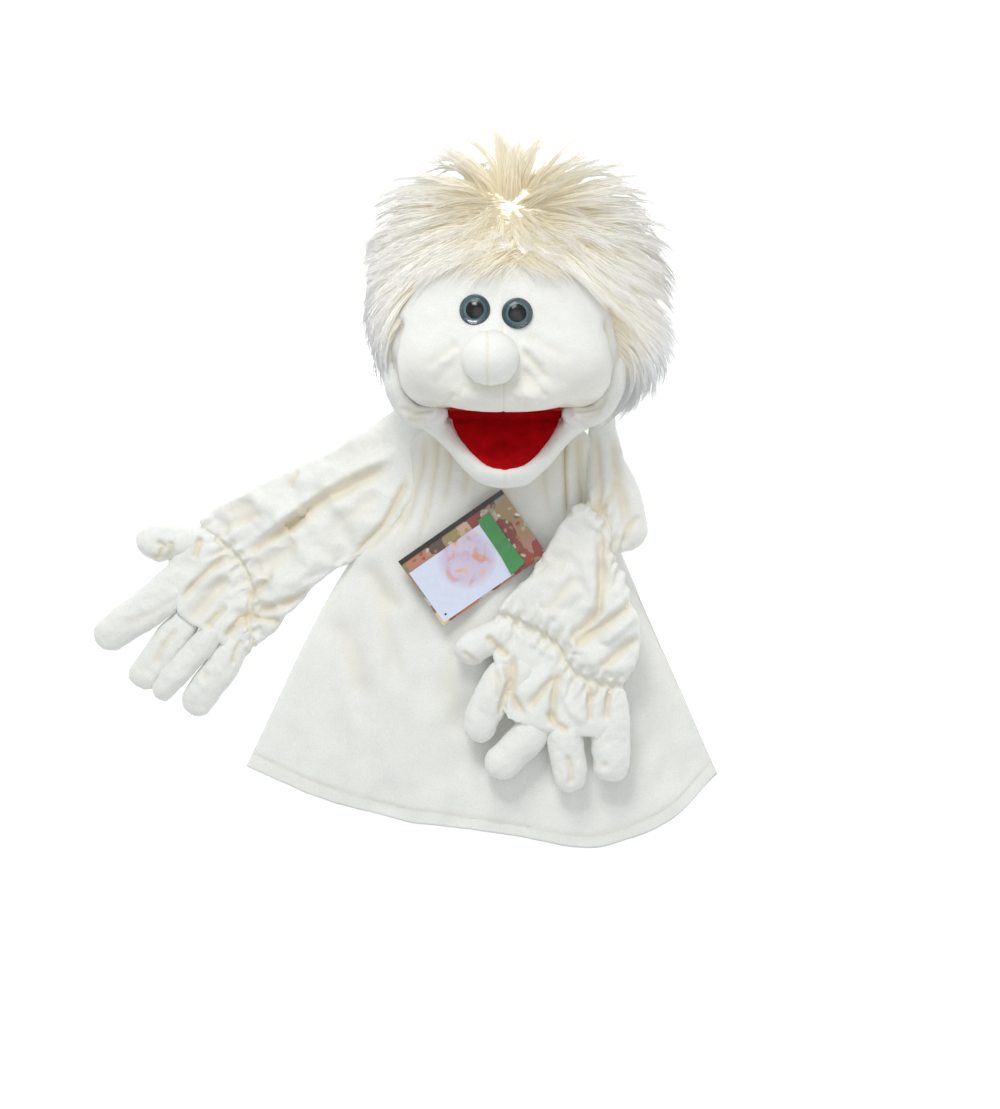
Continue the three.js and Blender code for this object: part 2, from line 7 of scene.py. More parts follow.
import bmesh
import bpy
import numpy as np
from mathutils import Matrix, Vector


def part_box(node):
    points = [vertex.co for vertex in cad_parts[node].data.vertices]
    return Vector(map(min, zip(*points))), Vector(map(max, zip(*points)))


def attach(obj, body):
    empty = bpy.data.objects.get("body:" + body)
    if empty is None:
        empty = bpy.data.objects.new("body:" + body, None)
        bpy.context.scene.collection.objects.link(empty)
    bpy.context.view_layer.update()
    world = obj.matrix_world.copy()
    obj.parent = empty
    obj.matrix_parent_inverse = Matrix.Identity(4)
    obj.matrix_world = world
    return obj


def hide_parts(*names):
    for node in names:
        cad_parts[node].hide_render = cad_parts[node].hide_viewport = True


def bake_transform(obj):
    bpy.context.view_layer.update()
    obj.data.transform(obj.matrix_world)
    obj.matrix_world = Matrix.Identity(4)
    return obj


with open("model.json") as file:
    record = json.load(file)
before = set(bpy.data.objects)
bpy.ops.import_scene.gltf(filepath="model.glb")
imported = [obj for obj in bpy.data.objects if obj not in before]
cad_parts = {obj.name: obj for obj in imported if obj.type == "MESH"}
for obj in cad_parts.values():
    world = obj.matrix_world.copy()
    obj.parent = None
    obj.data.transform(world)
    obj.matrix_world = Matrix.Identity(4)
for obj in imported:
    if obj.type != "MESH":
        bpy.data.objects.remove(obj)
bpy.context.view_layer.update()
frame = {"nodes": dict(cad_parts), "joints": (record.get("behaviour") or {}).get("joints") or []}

MM = 0.001
RNG = np.random.default_rng(7)
TURN = 2 * math.pi
ABOVE_TABLE = 0.6


def box_mm(node):
    low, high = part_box(node)
    return np.array(low) / MM, np.array(high) / MM


def joint(name):
    return next(j for j in frame["joints"] if j["name"] == name)


def pivot_mm(name):
    return np.array(joint(name)["pos_m"]) / MM


# ---------------------------------------------------------------- smooth helpers

def smooth(x, low, high):
    t = np.clip((np.asarray(x, float) - low) / (high - low), 0, 1)
    return t * t * (3 - 2 * t)


def curve(x, xs, ys):
    """A smooth line through points (monotone cubic), for profiles that change along a part."""
    xs, ys = np.asarray(xs, float), np.asarray(ys, float)
    h = np.diff(xs)
    slope = np.diff(ys) / h
    m = np.zeros(len(xs))
    m[0], m[-1] = slope[0], slope[-1]
    for i in range(1, len(xs) - 1):
        if slope[i - 1] * slope[i] > 0:
            m[i] = 2 / (1 / slope[i - 1] + 1 / slope[i])
    x = np.clip(np.asarray(x, float), xs[0], xs[-1])
    i = np.clip(np.searchsorted(xs, x) - 1, 0, len(h) - 1)
    t = (x - xs[i]) / h[i]
    return (
        (2 * t**3 - 3 * t**2 + 1) * ys[i]
        + (t**3 - 2 * t**2 + t) * h[i] * m[i]
        + (3 * t**2 - 2 * t**3) * ys[i + 1]
        + (t**3 - t**2) * h[i] * m[i + 1]
    )


def lattice(i, j, k, seed):
    h = (i * 374761393 + j * 668265263 + k * 2147483629 + seed * 1274126177) & 0xFFFFFFFF
    h = ((h ^ (h >> 13)) * 1274126177) & 0xFFFFFFFF
    return ((h ^ (h >> 16)) & 0xFFFF) / 32767.5 - 1


def noise(p, seed=0):
    """Smooth value noise from -1 to 1 at each point."""
    p = np.asarray(p, float)
    low = np.floor(p).astype(np.int64)
    f = p - low
    w = f * f * f * (f * (f * 6 - 15) + 10)
    total = 0
    for dx in (0, 1):
        for dy in (0, 1):
            for dz in (0, 1):
                weight = (
                    (w[..., 0] if dx else 1 - w[..., 0])
                    * (w[..., 1] if dy else 1 - w[..., 1])
                    * (w[..., 2] if dz else 1 - w[..., 2])
                )
                corner = (low[..., axis] + step for axis, step in enumerate((dx, dy, dz)))
                total = total + weight * lattice(*corner, seed)
    return total


def fbm(p, octaves=3, seed=0):
    return sum(noise(np.asarray(p) * 2**o, seed + 17 * o) / 2**o for o in range(octaves))


def crease(points, path, width, fade=0.25):
    """How near each 2-D point is to a drawn line: 1 on it, falling off over width, tapering at both ends."""
    path = np.asarray(path, float)
    best = np.zeros(len(points))
    lengths = np.r_[0, np.cumsum(np.linalg.norm(np.diff(path, axis=0), axis=1))]
    for (a, b), start in zip(zip(path, path[1:]), lengths):
        d = b - a
        span = np.linalg.norm(d)
        t = np.clip(((points - a) @ d) / span**2, 0, 1)
        gap = np.linalg.norm(points - a - t[:, None] * d, axis=1)
        along = (start + t * span) / lengths[-1]
        ends = min(0.5, max(fade, 1.6 * width / lengths[-1]))
        taper = smooth(along, 0, ends) * smooth(1 - along, 0, ends)
        best = np.maximum(best, np.exp(-((gap / width) ** 2)) * taper)
    return best


# ---------------------------------------------------------------- mesh helpers

def set_values(mesh, name, data):
    """Stores a number at each point, for a material to read."""
    data = np.asarray(data, np.float32).ravel()
    mesh.attributes.new(name, "FLOAT", "POINT").data.foreach_set("value", data)


def mesh_object(name, points, faces, material, smooth_shaded=True, **values):
    mesh = bpy.data.meshes.new(name)
    if not isinstance(faces, list):
        faces = np.asarray(faces).tolist()
    mesh.from_pydata((np.asarray(points, float) * MM).tolist(), [], faces)
    mesh.update()
    if smooth_shaded:
        mesh.polygons.foreach_set("use_smooth", [True] * len(mesh.polygons))
    for key, data in values.items():
        set_values(mesh, key, data)
    mesh.materials.append(material)
    o = bpy.data.objects.new(name, mesh)
    bpy.context.scene.collection.objects.link(o)
    return o


def grid_faces(rows, columns, wrap=False):
    i, j = np.meshgrid(np.arange(rows - 1), np.arange(columns if wrap else columns - 1), indexing="ij")
    k = (j + 1) % columns
    a, b, c, d = i * columns + j, i * columns + k, (i + 1) * columns + k, (i + 1) * columns + j
    return np.stack([a, b, c, d], -1).reshape(-1, 4)


def round_angles(columns):
    return np.linspace(0, TURN, columns, endpoint=False)


def sphere_angles(rows, columns, pole):
    """Grids of the angle from pole to pole and the angle round, leaving a small opening at each pole."""
    return np.meshgrid(np.linspace(pole, math.pi - pole, rows), round_angles(columns), indexing="ij")


def hollows(height, spread=6):
    """Where a height map lies below its surroundings: 0 to 1."""
    soft = height.copy()
    for _ in range(spread):
        padded = np.pad(soft, 1, mode="edge")
        soft = (padded[:-2, 1:-1] + padded[2:, 1:-1] + padded[1:-1, :-2] + padded[1:-1, 2:] + soft) / 5
    return np.clip((soft - height) / 1.5, 0, 1)


def closed_tube(rings):
    """Faces for a row of rings of equal length, with a fan at each end. rings: [rows, columns, 3]."""
    rows, columns = rings.shape[:2]
    points = np.concatenate([rings.reshape(-1, 3), rings[:1].mean(1), rings[-1:].mean(1)])
    faces = grid_faces(rows, columns, True).tolist()
    last = (rows - 1) * columns
    hub = rows * columns
    faces += [[hub, (j + 1) % columns, j] for j in range(columns)]
    faces += [[hub + 1, last + j, last + (j + 1) % columns] for j in range(columns)]
    return points, faces


def apply(o):
    bpy.context.view_layer.update()
    evaluated = o.evaluated_get(bpy.context.evaluated_depsgraph_get())
    mesh = bpy.data.meshes.new_from_object(evaluated)
    o.modifiers.clear()
    o.data = mesh


def join_parts(parts):
    points, faces, start = [], [], 0
    for p, f in parts:
        points.append(p)
        faces += [[i + start for i in face] for face in f]
        start += len(p)
    return np.concatenate(points), faces


def mesh_arrays(mesh):
    p = np.empty(len(mesh.vertices) * 3)
    mesh.vertices.foreach_get("co", p)
    n = np.empty(len(mesh.vertices) * 3)
    mesh.vertices.foreach_get("normal", n)
    return p.reshape(-1, 3) / MM, n.reshape(-1, 3)


def set_points(mesh, p):
    mesh.vertices.foreach_set("co", (p * MM).ravel())
    mesh.update()


def thicken(o, thickness, offset):
    m = o.modifiers.new("thick", "SOLIDIFY")
    m.thickness = thickness * MM
    m.offset = offset
    apply(o)


def face_outwards(o, close_holes=False):
    b = bmesh.new()
    b.from_mesh(o.data)
    if close_holes:
        bmesh.ops.holes_fill(b, edges=[e for e in b.edges if e.is_boundary], sides=0)
    bmesh.ops.recalc_face_normals(b, faces=b.faces)
    b.to_mesh(o.data)
    b.free()


def refine(o):
    m = o.modifiers.new("fine", "SUBSURF")
    m.levels = m.render_levels = 1
    apply(o)


def fused(name, parts, voxel, rounds):
    """Closed tubes melted into one skin of velour."""
    points, faces = join_parts(parts)
    o = mesh_object(name, points, faces, velour)
    m = o.modifiers.new("fuse", "REMESH")
    m.mode = "VOXEL"
    m.voxel_size = voxel * MM
    m = o.modifiers.new("relax", "SMOOTH")
    m.factor = 0.5
    m.iterations = rounds
    apply(o)
    return o


# ---------------------------------------------------------------- materials

def material(name, colour, roughness, build=None, **sockets):
    m = bpy.data.materials.new(name)
    m.use_nodes = True
    shader = m.node_tree.nodes["Principled BSDF"]
    shader.inputs["Base Color"].default_value = (*colour, 1)
    shader.inputs["Roughness"].default_value = roughness
    for key, value in sockets.items():
        shader.inputs[key.replace("_", " ")].default_value = value
    if build:
        build(m.node_tree, shader)
    m.diffuse_color = (*colour, 1)
    return m


def node(tree, kind, **settings):
    n = tree.nodes.new(kind)
    for key, value in settings.items():
        if key in n.inputs:
            n.inputs[key].default_value = value
        else:
            setattr(n, key, value)
    return n


def noise_node(tree, scale, detail=3.0, roughness=0.6):
    where = node(tree, "ShaderNodeTexCoord")
    n = node(tree, "ShaderNodeTexNoise", Scale=scale, Detail=detail, Roughness=roughness)
    tree.links.new(where.outputs["Object"], n.inputs["Vector"])
    return n


def ramp(tree, source, stops):
    r = node(tree, "ShaderNodeValToRGB")
    elements = r.color_ramp.elements
    while len(elements) < len(stops):
        elements.new(0.5)
    for e, (at, colour) in zip(elements, stops):
        e.position = at
        e.color = (*colour, 1)
    tree.links.new(source, r.inputs["Fac"])
    return r.outputs["Color"]


def mix(tree, factor, a, b, mode="MIX"):
    m = node(tree, "ShaderNodeMix", data_type="RGBA", blend_type=mode)
    # the colour sockets of a mix node are its seventh and eighth
    for index, value in ((0, factor), (6, a), (7, b)):
        if hasattr(value, "node"):
            tree.links.new(value, m.inputs[index])
        else:
            m.inputs[index].default_value = value if index == 0 else (*value, 1)
    return m.outputs[2]


def bumps(tree, shader, layers):
    """Chains bump nodes: (height output, strength, distance in metres)."""
    previous = None
    for height, strength, distance in layers:
        b = node(tree, "ShaderNodeBump", Strength=strength, Distance=distance)
        tree.links.new(height, b.inputs["Height"])
        if previous:
            tree.links.new(previous, b.inputs["Normal"])
        previous = b.outputs["Normal"]
    tree.links.new(previous, shader.inputs["Normal"])


def attribute(tree, name):
    return node(tree, "ShaderNodeAttribute", attribute_name=name).outputs["Fac"]


def times(tree, value, factor):
    n = node(tree, "ShaderNodeMath", operation="MULTIPLY")
    tree.links.new(value, n.inputs[0])
    n.inputs[1].default_value = factor
    return n.outputs[0]


def paint(tree, shader, colour):
    tree.links.new(colour, shader.inputs["Base Color"])


def velour_nodes(light, shade):
    def build(tree, shader):
        pile = noise_node(tree, 900.0, 2.0)
        nap = noise_node(tree, 55.0, 4.0, 0.65)
        # painted shade: a value stored at each point mixes the cloth towards the shade colour in creases,
        # hollows, seams and undersides
        fold = attribute(tree, "fold")
        base = ramp(tree, nap.outputs["Fac"], [(0.3, tuple(0.955 * c for c in light)), (0.7, light)])
        speck = ramp(tree, pile.outputs["Fac"], [(0.25, (0.9, 0.9, 0.89)), (0.6, (1, 1, 1))])
        base = mix(tree, 1.0, base, speck, "MULTIPLY")
        paint(tree, shader, mix(tree, fold, base, shade))
        bumps(tree, shader, [(nap.outputs["Fac"], 0.12, 0.0012), (pile.outputs["Fac"], 0.35, 0.0004)])
    return build


# SHADE_CLOTH is painted shade: the warm beige that the cloth's creases, hollows and undersides are mixed
# towards
LIGHT_CLOTH = (0.885, 0.895, 0.86)
SHADE_CLOTH = (0.75, 0.69, 0.53)
velour = material("velour", LIGHT_CLOTH, 0.92, velour_nodes(LIGHT_CLOTH, SHADE_CLOTH),
                  Sheen_Weight=0.35, Sheen_Roughness=0.5, Specular_IOR_Level=0.15)


def felt_nodes(tree, shader):
    fine = noise_node(tree, 1400.0, 3.0)
    coarse = noise_node(tree, 70.0, 4.0)
    low = (0.36, 0.0015, 0.004)
    high = (0.66, 0.004, 0.010)
    paint(tree, shader, ramp(tree, coarse.outputs["Fac"], [(0.25, low), (0.75, high)]))
    bumps(tree, shader, [(fine.outputs["Fac"], 0.4, 0.0005), (coarse.outputs["Fac"], 0.2, 0.001)])


felt = material("red_felt", (0.45, 0.003, 0.006), 0.95, felt_nodes, Specular_IOR_Level=0.1)


def grain_nodes(low, high, scale, strength, distance):
    """An even colour with a fine grain, from its darkest to its lightest."""
    def build(tree, shader):
        n = noise_node(tree, scale, 4.0)
        paint(tree, shader, ramp(tree, n.outputs["Fac"], [(0.3, low), (0.7, high)]))
        bumps(tree, shader, [(n.outputs["Fac"], strength, distance)])
    return build


washer_look = material("washer", (0.9, 0.9, 0.88), 0.45,
                       grain_nodes((0.80, 0.80, 0.77), (0.9, 0.9, 0.88), 150.0, 0.1, 0.0003))

for washer in ("left_eye_washer", "right_eye_washer"):
    frame["nodes"][washer].data.materials.clear()
    frame["nodes"][washer].data.materials.append(washer_look)

# ---------------------------------------------------------------- head form

HEAD = np.array([7.0, 235.0, 98.0])
HEAD_HALF_X = 101.0
HEAD_UP = 127.0
HEAD_DOWN = 78.0
HEAD_DEPTH = 86.0
MOUTH_HALF = 50


def head_radius(d):
    low = smooth(-d[..., 1], -0.3, 0.3)
    power = 2.2 + 0.6 * low
    half_y = np.where(d[..., 1] > 0, HEAD_UP, HEAD_DOWN)
    total = (
        np.abs(d[..., 0] / HEAD_HALF_X) ** power
        + np.abs(d[..., 1] / half_y) ** power
        + np.abs(d[..., 2] / HEAD_DEPTH) ** power
    )
    return total ** (-1 / power)


def face_height(x, y):
    """Height of the bare head form over the table at (x, y), on its upper side."""
    low, high = HEAD[2], HEAD[2] + HEAD_DEPTH + 10
    for _ in range(30):
        z = (low + high) / 2
        d = np.array([x, y, z]) - HEAD
        r = np.linalg.norm(d)
        if r < head_radius(d / r):
            low = z
        else:
            high = z
    return low


NOSE_AT = np.array([-5.5, 205.5])
NOSE_R = 24.0

# Folds drawn on the face, as seen from above: (points, width, depth). A negative depth is a ridge.
FACE_FOLDS = [
    # puckers that run down and out from the nose ball's right side
    ([(20, 200), (32, 184), (46, 171)], 3.4, 2.6),
    ([(15, 190), (26, 176), (36, 169)], 2.6, -1.4),
    ([(20, 214), (34, 199), (44, 187)], 3.0, 2.2),
    ([(24, 228), (42, 216), (62, 205)], 4.6, 2.0),
    ([(18, 222), (30, 212), (40, 200)], 3.2, -1.6),
    ([(8, 180), (18, 171), (28, 166)], 2.6, 1.4),
    # the left side
    ([(-31, 222), (-44, 210), (-58, 199)], 4.2, 2.0),
    ([(-30, 214), (-39, 206), (-48, 203)], 2.8, -1.5),
    ([(-31, 203), (-44, 195), (-54, 184)], 4.4, 1.3),
    ([(-34, 179), (-40, 173), (-46, 168)], 2.6, 1.8),
    ([(-24, 186), (-30, 178), (-34, 171)], 3.0, 1.0),
]
# The tuck that runs from each corner of the mouth out and up round the cheek pad.
CHEEK_TUCKS = [
    [(-45, 169.5), (-62, 168.5), (-78, 171.5), (-86, 186), (-89, 206), (-87, 226), (-80, 246)],
    [(59, 169), (76, 169), (92, 173), (101, 186), (103, 202), (100, 226), (92, 246)],
]


def build_head():
    rows, columns = 250, 320
    phi = np.linspace(0.02, math.pi - 0.02, rows)
    t = np.linspace(-1, 1, columns, endpoint=False)
    lam = math.pi * (0.62 * t + 0.38 * t**3)
    ph, la = np.meshgrid(phi, lam, indexing="ij")
    d = np.stack([np.sin(ph) * np.sin(la), np.cos(ph), np.sin(ph) * np.cos(la)], -1)
    p = HEAD + d * head_radius(d)[..., None]
    x, y, z = (p[..., i] for i in range(3))
    front = smooth(z, 95, 125)
    flat = np.stack([x.ravel(), y.ravel()], -1)

    def drawn(path, width, fade=0.25):
        return crease(flat, path, width, fade).reshape(x.shape) * front

    out = np.zeros_like(x)
    for side in (-1, 1):
        # full cheeks, lower than the eyes, and a little hollow between cheek and brow
        out += 5.5 * front * np.exp(-(((x - HEAD[0] - side * 66) / 30) ** 2) - ((y - 199) / 24) ** 2)
    out += 4.0 * front * np.exp(-(((x - HEAD[0]) / 46) ** 2) - ((y - 178) / 11) ** 2)
    out += 6.0 * front * np.exp(-(((x - NOSE_AT[0]) / 17) ** 2) - ((y - NOSE_AT[1] - 15) / 17) ** 2)
    out -= 2.2 * front * np.exp(-(((x - NOSE_AT[0]) / 30) ** 2) - ((y - NOSE_AT[1] + 22) / 8) ** 2)
    for path in CHEEK_TUCKS:
        out -= 5.5 * drawn(path, 3.2, 0.12)
        out -= 2.0 * drawn(path, 9.0, 0.12)
    for path, width, depth in FACE_FOLDS:
        out -= depth * drawn(path, width)
    seam = np.exp(-(((x - HEAD[0] + 1.5) / 1.1) ** 2)) * front
    out -= seam * np.where(y > 232, 0.35, 0.9)
    out += 0.9 * fbm(p / 34, 2, 3) + 0.25 * fbm(p / 9, 2, 9)
    p = p + d * out[..., None]

    # The upper lip: the skin turns under at the mouth, hanging lowest in the middle.
    across = np.abs(p[..., 0] - HEAD[0]) / MOUTH_HALF
    muzzle = np.exp(-(across**4)) * smooth(192 - p[..., 1], 0, 26) * smooth(p[..., 2], 100, 140)
    p[..., 2] += 13 * muzzle
    rim = 169.3 - 9.6 * np.clip(1 - across**2, 0, None)
    depth = across**2.6 + (np.clip(p[..., 2] - 72, 0, None) / 80) ** 2.6
    inside = 1 - smooth(depth, 0.9, 1.15)
    lip_y = rim + (169.5 - rim) * inside - 80 * (1 - smooth(p[..., 2], 56, 64))
    gap = p[..., 1] - lip_y
    softness = 2.0
    p[..., 1] = lip_y + softness * np.logaddexp(0, gap / softness)
    # painted shade: under the lip's turned-under edge, faintly over the lower face, which the light from
    # above reaches less, and in the hollows of the relief
    under = smooth(-gap, -4, 6) * (p[..., 2] > 60)
    low_face = 1 - smooth(p[..., 1], 176, 232)
    shade = np.clip(0.75 * hollows(out, 8) + 0.5 * under + 0.16 * low_face, 0, 1)
    faces = grid_faces(rows, columns, True)[:, ::-1]
    o = mesh_object("face_and_head", p.reshape(-1, 3), faces, velour, fold=shade)
    face_outwards(o, close_holes=True)
    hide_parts("face_skin_left", "face_skin_right", "head_back_skin", "head_foam")
    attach(o, "head")


build_head()


def build_nose():
    phi, lam = sphere_angles(90, 120, 0.001)
    d = np.stack([np.sin(phi) * np.cos(lam), np.sin(phi) * np.sin(lam), np.cos(phi)], -1)
    centre = np.array([*NOSE_AT, face_height(*NOSE_AT) + 4])
    r = NOSE_R * (1 - 0.03 * d[..., 1] ** 2)
    seam = np.exp(-(((d[..., 0] + 0.10) * NOSE_R / 1.3) ** 2))
    out = -0.9 * seam + 0.5 * fbm(d * 1.6, 2, 5)
    # gathers where the ball meets the face
    skirt = smooth(-d[..., 2], -0.45, 0.1)
    out += skirt * 0.35 * np.sin(lam * 11 + 1.5 * np.sin(lam * 3))
    p = centre + d * (r + out)[..., None]
    # painted shade along the seam and in the gathers where the ball meets the face
    seam_and_gather_shade = np.clip(0.6 * seam + 0.35 * skirt, 0, 1)
    points, faces = closed_tube(p)
    o = mesh_object("nose_ball", points, faces, velour, fold=np.r_[seam_and_gather_shade.ravel() * 0.7, 0, 0])
    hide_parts("nose")
    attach(o, "head")


build_nose()

# ---------------------------------------------------------------- jaw and mouth

HINGE = pivot_mm("jaw")
JAW_OPEN = math.radians(42)
JAW_S = np.array([0, -math.sin(JAW_OPEN), math.cos(JAW_OPEN)])
JAW_N = np.array([0, -math.cos(JAW_OPEN), -math.sin(JAW_OPEN)])


def jaw_point(x, s, n):
    x, s, n = np.broadcast_arrays(np.asarray(x, float), s, n)
    y = HINGE[1] + s * JAW_S[1] + n * JAW_N[1]
    z = HINGE[2] + s * JAW_S[2] + n * JAW_N[2]
    return np.stack([HINGE[0] + x, y, z], -1)


# The jaw's rim from the chin (0) to the mouth's corner (1): the lip's inner edge and its outside.
LIP_T = [0, 0.2, 0.4, 0.6, 0.8, 1.0]
INNER_X = [0, 14, 26, 35.5, 43, 51]
INNER_S = [71, 66.5, 53, 35, 17, -2]
OUTER_X = [0, 17, 33, 46, 60, 88]
OUTER_S = [79.5, 75, 60, 40, 19, -4]


def tube_along(points, radii, flatten=1.0, columns=28, steps=36):
    """A round, closed roll of cloth along a smooth line in space."""
    points = np.asarray(points, float)
    at = np.linspace(0, 1, len(points))
    t = np.linspace(0, 1, steps)
    line = np.stack([curve(t, at, points[:, i]) for i in range(3)], -1)
    ahead = np.gradient(line, axis=0)
    ahead /= np.linalg.norm(ahead, axis=1, keepdims=True)
    side = np.cross(ahead, [0, 0, 1])
    side /= np.linalg.norm(side, axis=1, keepdims=True)
    up = np.cross(side, ahead)
    r = curve(t, np.linspace(0, 1, len(radii)), radii)
    r = r * np.sqrt(np.clip(1 - np.abs(2 * t - 1) ** 14, 0.02, 1))
    a = round_angles(columns)
    rings = line[:, None] + r[:, None, None] * (
        np.cos(a)[None, :, None] * side[:, None] + flatten * np.sin(a)[None, :, None] * up[:, None])
    return closed_tube(rings)


def jaw_half(sign):
    """One side of the jaw: lip, outside and underside, swept from the chin to the mouth's corner."""
    tau = np.linspace(0, 1, 90)
    inner = np.stack([curve(tau, LIP_T, INNER_X), curve(tau, LIP_T, INNER_S)], -1)
    outer = np.stack([curve(tau, LIP_T, OUTER_X), curve(tau, LIP_T, OUTER_S)], -1)
    section_t = np.linspace(0, 1, 10)
    across = [0.02, 0.06, 0.3, 0.66, 0.94, 1.0, 0.92, 0.7, 0.3, 0.0]
    down = [4.0, 0.2, -2.6, -2.0, 1.5, 6.5, 12.0, 17.0, 20.5, 22.0]
    t = np.linspace(0, 1, 44)
    a, n = curve(t, section_t, across), curve(t, section_t, down)
    corner = smooth(tau, 0.7, 1.0)[:, None]
    flat = inner[:, None] + (outer - inner)[:, None] * a[None, :, None]
    depth = n[None, :] * (1 - 0.25 * corner) - 3.2 * corner * (1 - smooth(t, 0.5, 0.9))[None, :]
    x, s = flat[..., 0], flat[..., 1]
    # three points behind the lip close the half on its inside
    back = np.array([(-2.5, 5, 21), (-2.5, 5, 12), (-2.5, 5, 5)])
    x, s, depth = (
        np.concatenate([grid, np.tile(back[:, i], (len(tau), 1))], 1) for i, grid in enumerate((x, s, depth))
    )
    return closed_tube(jaw_point(sign * x, s, depth)[:, ::sign])


def build_jaw():
    straps = [
        ([(-78, 246, 108), (-88, 222, 110), (-91, 207, 109), (-90, 190, 105), (-84, 175, 95), (-73, 164, 86),
          (-58, 157, 83)], [2, 5, 7.5, 8.5, 9, 9.5, 8.5]),
        ([(91, 246, 110), (102, 222, 112), (105, 207, 110), (104, 190, 105), (97, 175, 95), (86, 164, 86),
          (72, 157, 83)], [2, 5, 7.5, 8, 9, 9.5, 8.5]),
        ([(-76, 164, 88), (-62, 164, 93), (-50, 166, 100)], [8, 7, 6]),
        ([(-58, 156, 82), (-50, 161, 88), (-47, 167, 98)], [8, 6.5, 5.5]),
        ([(90, 164, 88), (76, 164, 93), (64, 166, 100)], [8, 7, 6]),
        ([(72, 156, 82), (64, 161, 88), (61, 167, 98)], [8, 6.5, 5.5]),
    ]
    tubes = [tube_along(points, radii) for points, radii in straps]
    o = fused("jaw_skin_cover", [jaw_half(1), jaw_half(-1), *tubes], 1.8, 7)
    p, normals = mesh_arrays(o.data)
    flat = p[:, :2]
    x = p[:, 0] - HINGE[0]
    outside = smooth(normals @ (0.6 * JAW_S + 0.4 * JAW_N), -0.2, 0.4)
    seam = np.exp(-((x / 1.2) ** 2)) * (0.3 + 0.7 * outside)
    up = smooth(normals[:, 2], -0.1, 0.5)
    height = -0.8 * seam + 0.7 * fbm(p / 26, 2, 21)
    # painted shade: along the chin's seam, in the creases by the mouth's corners, and on the underside, which
    # faces away from the light
    shade = 0.45 * seam
    for path, width, depth in (
        ([(-86, 169), (-74, 165.5), (-60, 167), (-50, 168)], 2.6, 2.8),
        ([(-80, 160), (-70, 158), (-60, 160)], 2.4, 1.6),
        ([(62, 168), (74, 167), (88, 170), (97, 180)], 2.6, 2.8),
        ([(70, 160), (82, 161), (92, 167)], 2.4, 1.8),
    ):
        c = crease(flat, path, width)
        height -= depth * c * up
        shade += 0.5 * c * up
    shade += 0.5 * smooth(-normals[:, 2], -0.45, 0.3)
    set_points(o.data, p + normals * height[:, None])
    set_values(o.data, "fold", np.clip(shade, 0, 1))
    refine(o)
    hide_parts("jaw_skin", "jaw_foam")
    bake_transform(o)


build_jaw()


def build_felt():
    """One piece of felt folded at the hinge: b runs from the upper lip (-1) to the lower lip (+1)."""
    rows, columns = 120, 90
    b = np.linspace(-1, 1, rows)[:, None]
    a = np.linspace(-1, 1, columns)[None, :]
    s = 71.5 * np.clip(b, 0, 1)
    taus = np.linspace(0, 1, 200)
    lower = np.interp(s, curve(taus, LIP_T, INNER_S)[::-1], curve(taus, LIP_T, INNER_X)[::-1])
    depth = 78 * np.clip(-b, 0, 1)
    upper = MOUTH_HALF * np.clip(1 - (depth / 79) ** 2.6, 0, 1) ** 0.4
    half = np.where(b > 0, np.maximum(lower, 0.5), np.maximum(upper, 0.5))
    x = a * half
    # lower leaf in the jaw's plane, upper leaf on the palate, a soft fold between
    low = jaw_point(x, s, 0.8 + 0 * x)
    up = np.stack([HINGE[0] + x, 167.5 + 0 * x, HINGE[2] + depth + 0 * x], -1)
    w = smooth(b, -0.03, 0.03)[..., None]
    p = up * (1 - w) + low * w
    p[..., 1] += (0.4 * fbm(p / 14, 2, 31)) * np.where(b > 0, 0.4, 0.2)
    o = mesh_object("mouth_felt", p.reshape(-1, 3), grid_faces(rows, columns), felt)
    thicken(o, 1.4, 0)
    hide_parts("upper_mouth_lining", "lower_mouth_lining", "upper_mouth_plate", "lower_mouth_plate")
    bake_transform(o)


build_felt()

# ---------------------------------------------------------------- eyes

def iris_nodes(inner, middle, outer):
    """Rings of colour, by the distance from the eye's middle."""
    def build(tree, shader):
        rings = [(0.0, inner), (0.55, middle), (0.8, inner), (1.0, outer)]
        paint(tree, shader, ramp(tree, attribute(tree, "rim"), rings))
        n = noise_node(tree, 800.0)
        bumps(tree, shader, [(n.outputs["Fac"], 0.05, 0.0002)])
    return build


def clear_nodes(tree, shader):
    n = noise_node(tree, 120.0)
    paint(tree, shader, ramp(tree, n.outputs["Fac"], [(0.0, (0.92, 0.96, 0.97)), (1.0, (1, 1, 1))]))


teal_look = material("eye_teal", (0.03, 0.12, 0.14), 0.3,
                     iris_nodes((0.012, 0.045, 0.055), (0.07, 0.24, 0.26), (0.015, 0.05, 0.07)),
                     Coat_Weight=0.6, Coat_Roughness=0.08)
black_look = material("eye_black", (0.004, 0.004, 0.005), 0.12,
                      grain_nodes((0.003, 0.003, 0.004), (0.006, 0.006, 0.007), 500.0, 0.02, 0.0001),
                      Specular_IOR_Level=0.1, Coat_Weight=0.08, Coat_Roughness=0.03)
clear_look = material("eye_clear", (0.95, 0.98, 0.99), 0.02, clear_nodes,
                      Transmission_Weight=1.0, IOR=1.12, Coat_Weight=0.42, Coat_Roughness=0.02)


def lathe(name, profile, centre, normal, look, segments=72):
    """Turns a profile of (radius, height) about the normal through centre."""
    normal = normal / np.linalg.norm(normal)
    u = np.cross(normal, [0, 1, 0])
    u /= np.linalg.norm(u)
    v = np.cross(normal, u)
    angle = round_angles(segments)
    profile = np.asarray(profile, float)
    ring = np.cos(angle)[:, None] * u + np.sin(angle)[:, None] * v
    p = centre + profile[:, None, :1] * ring + profile[:, None, 1:] * normal
    points, faces = closed_tube(p)
    rim = np.repeat(profile[:, 0] / EYE_R, segments)
    return mesh_object(name, points, faces, look, rim=np.r_[rim, 0, 0])


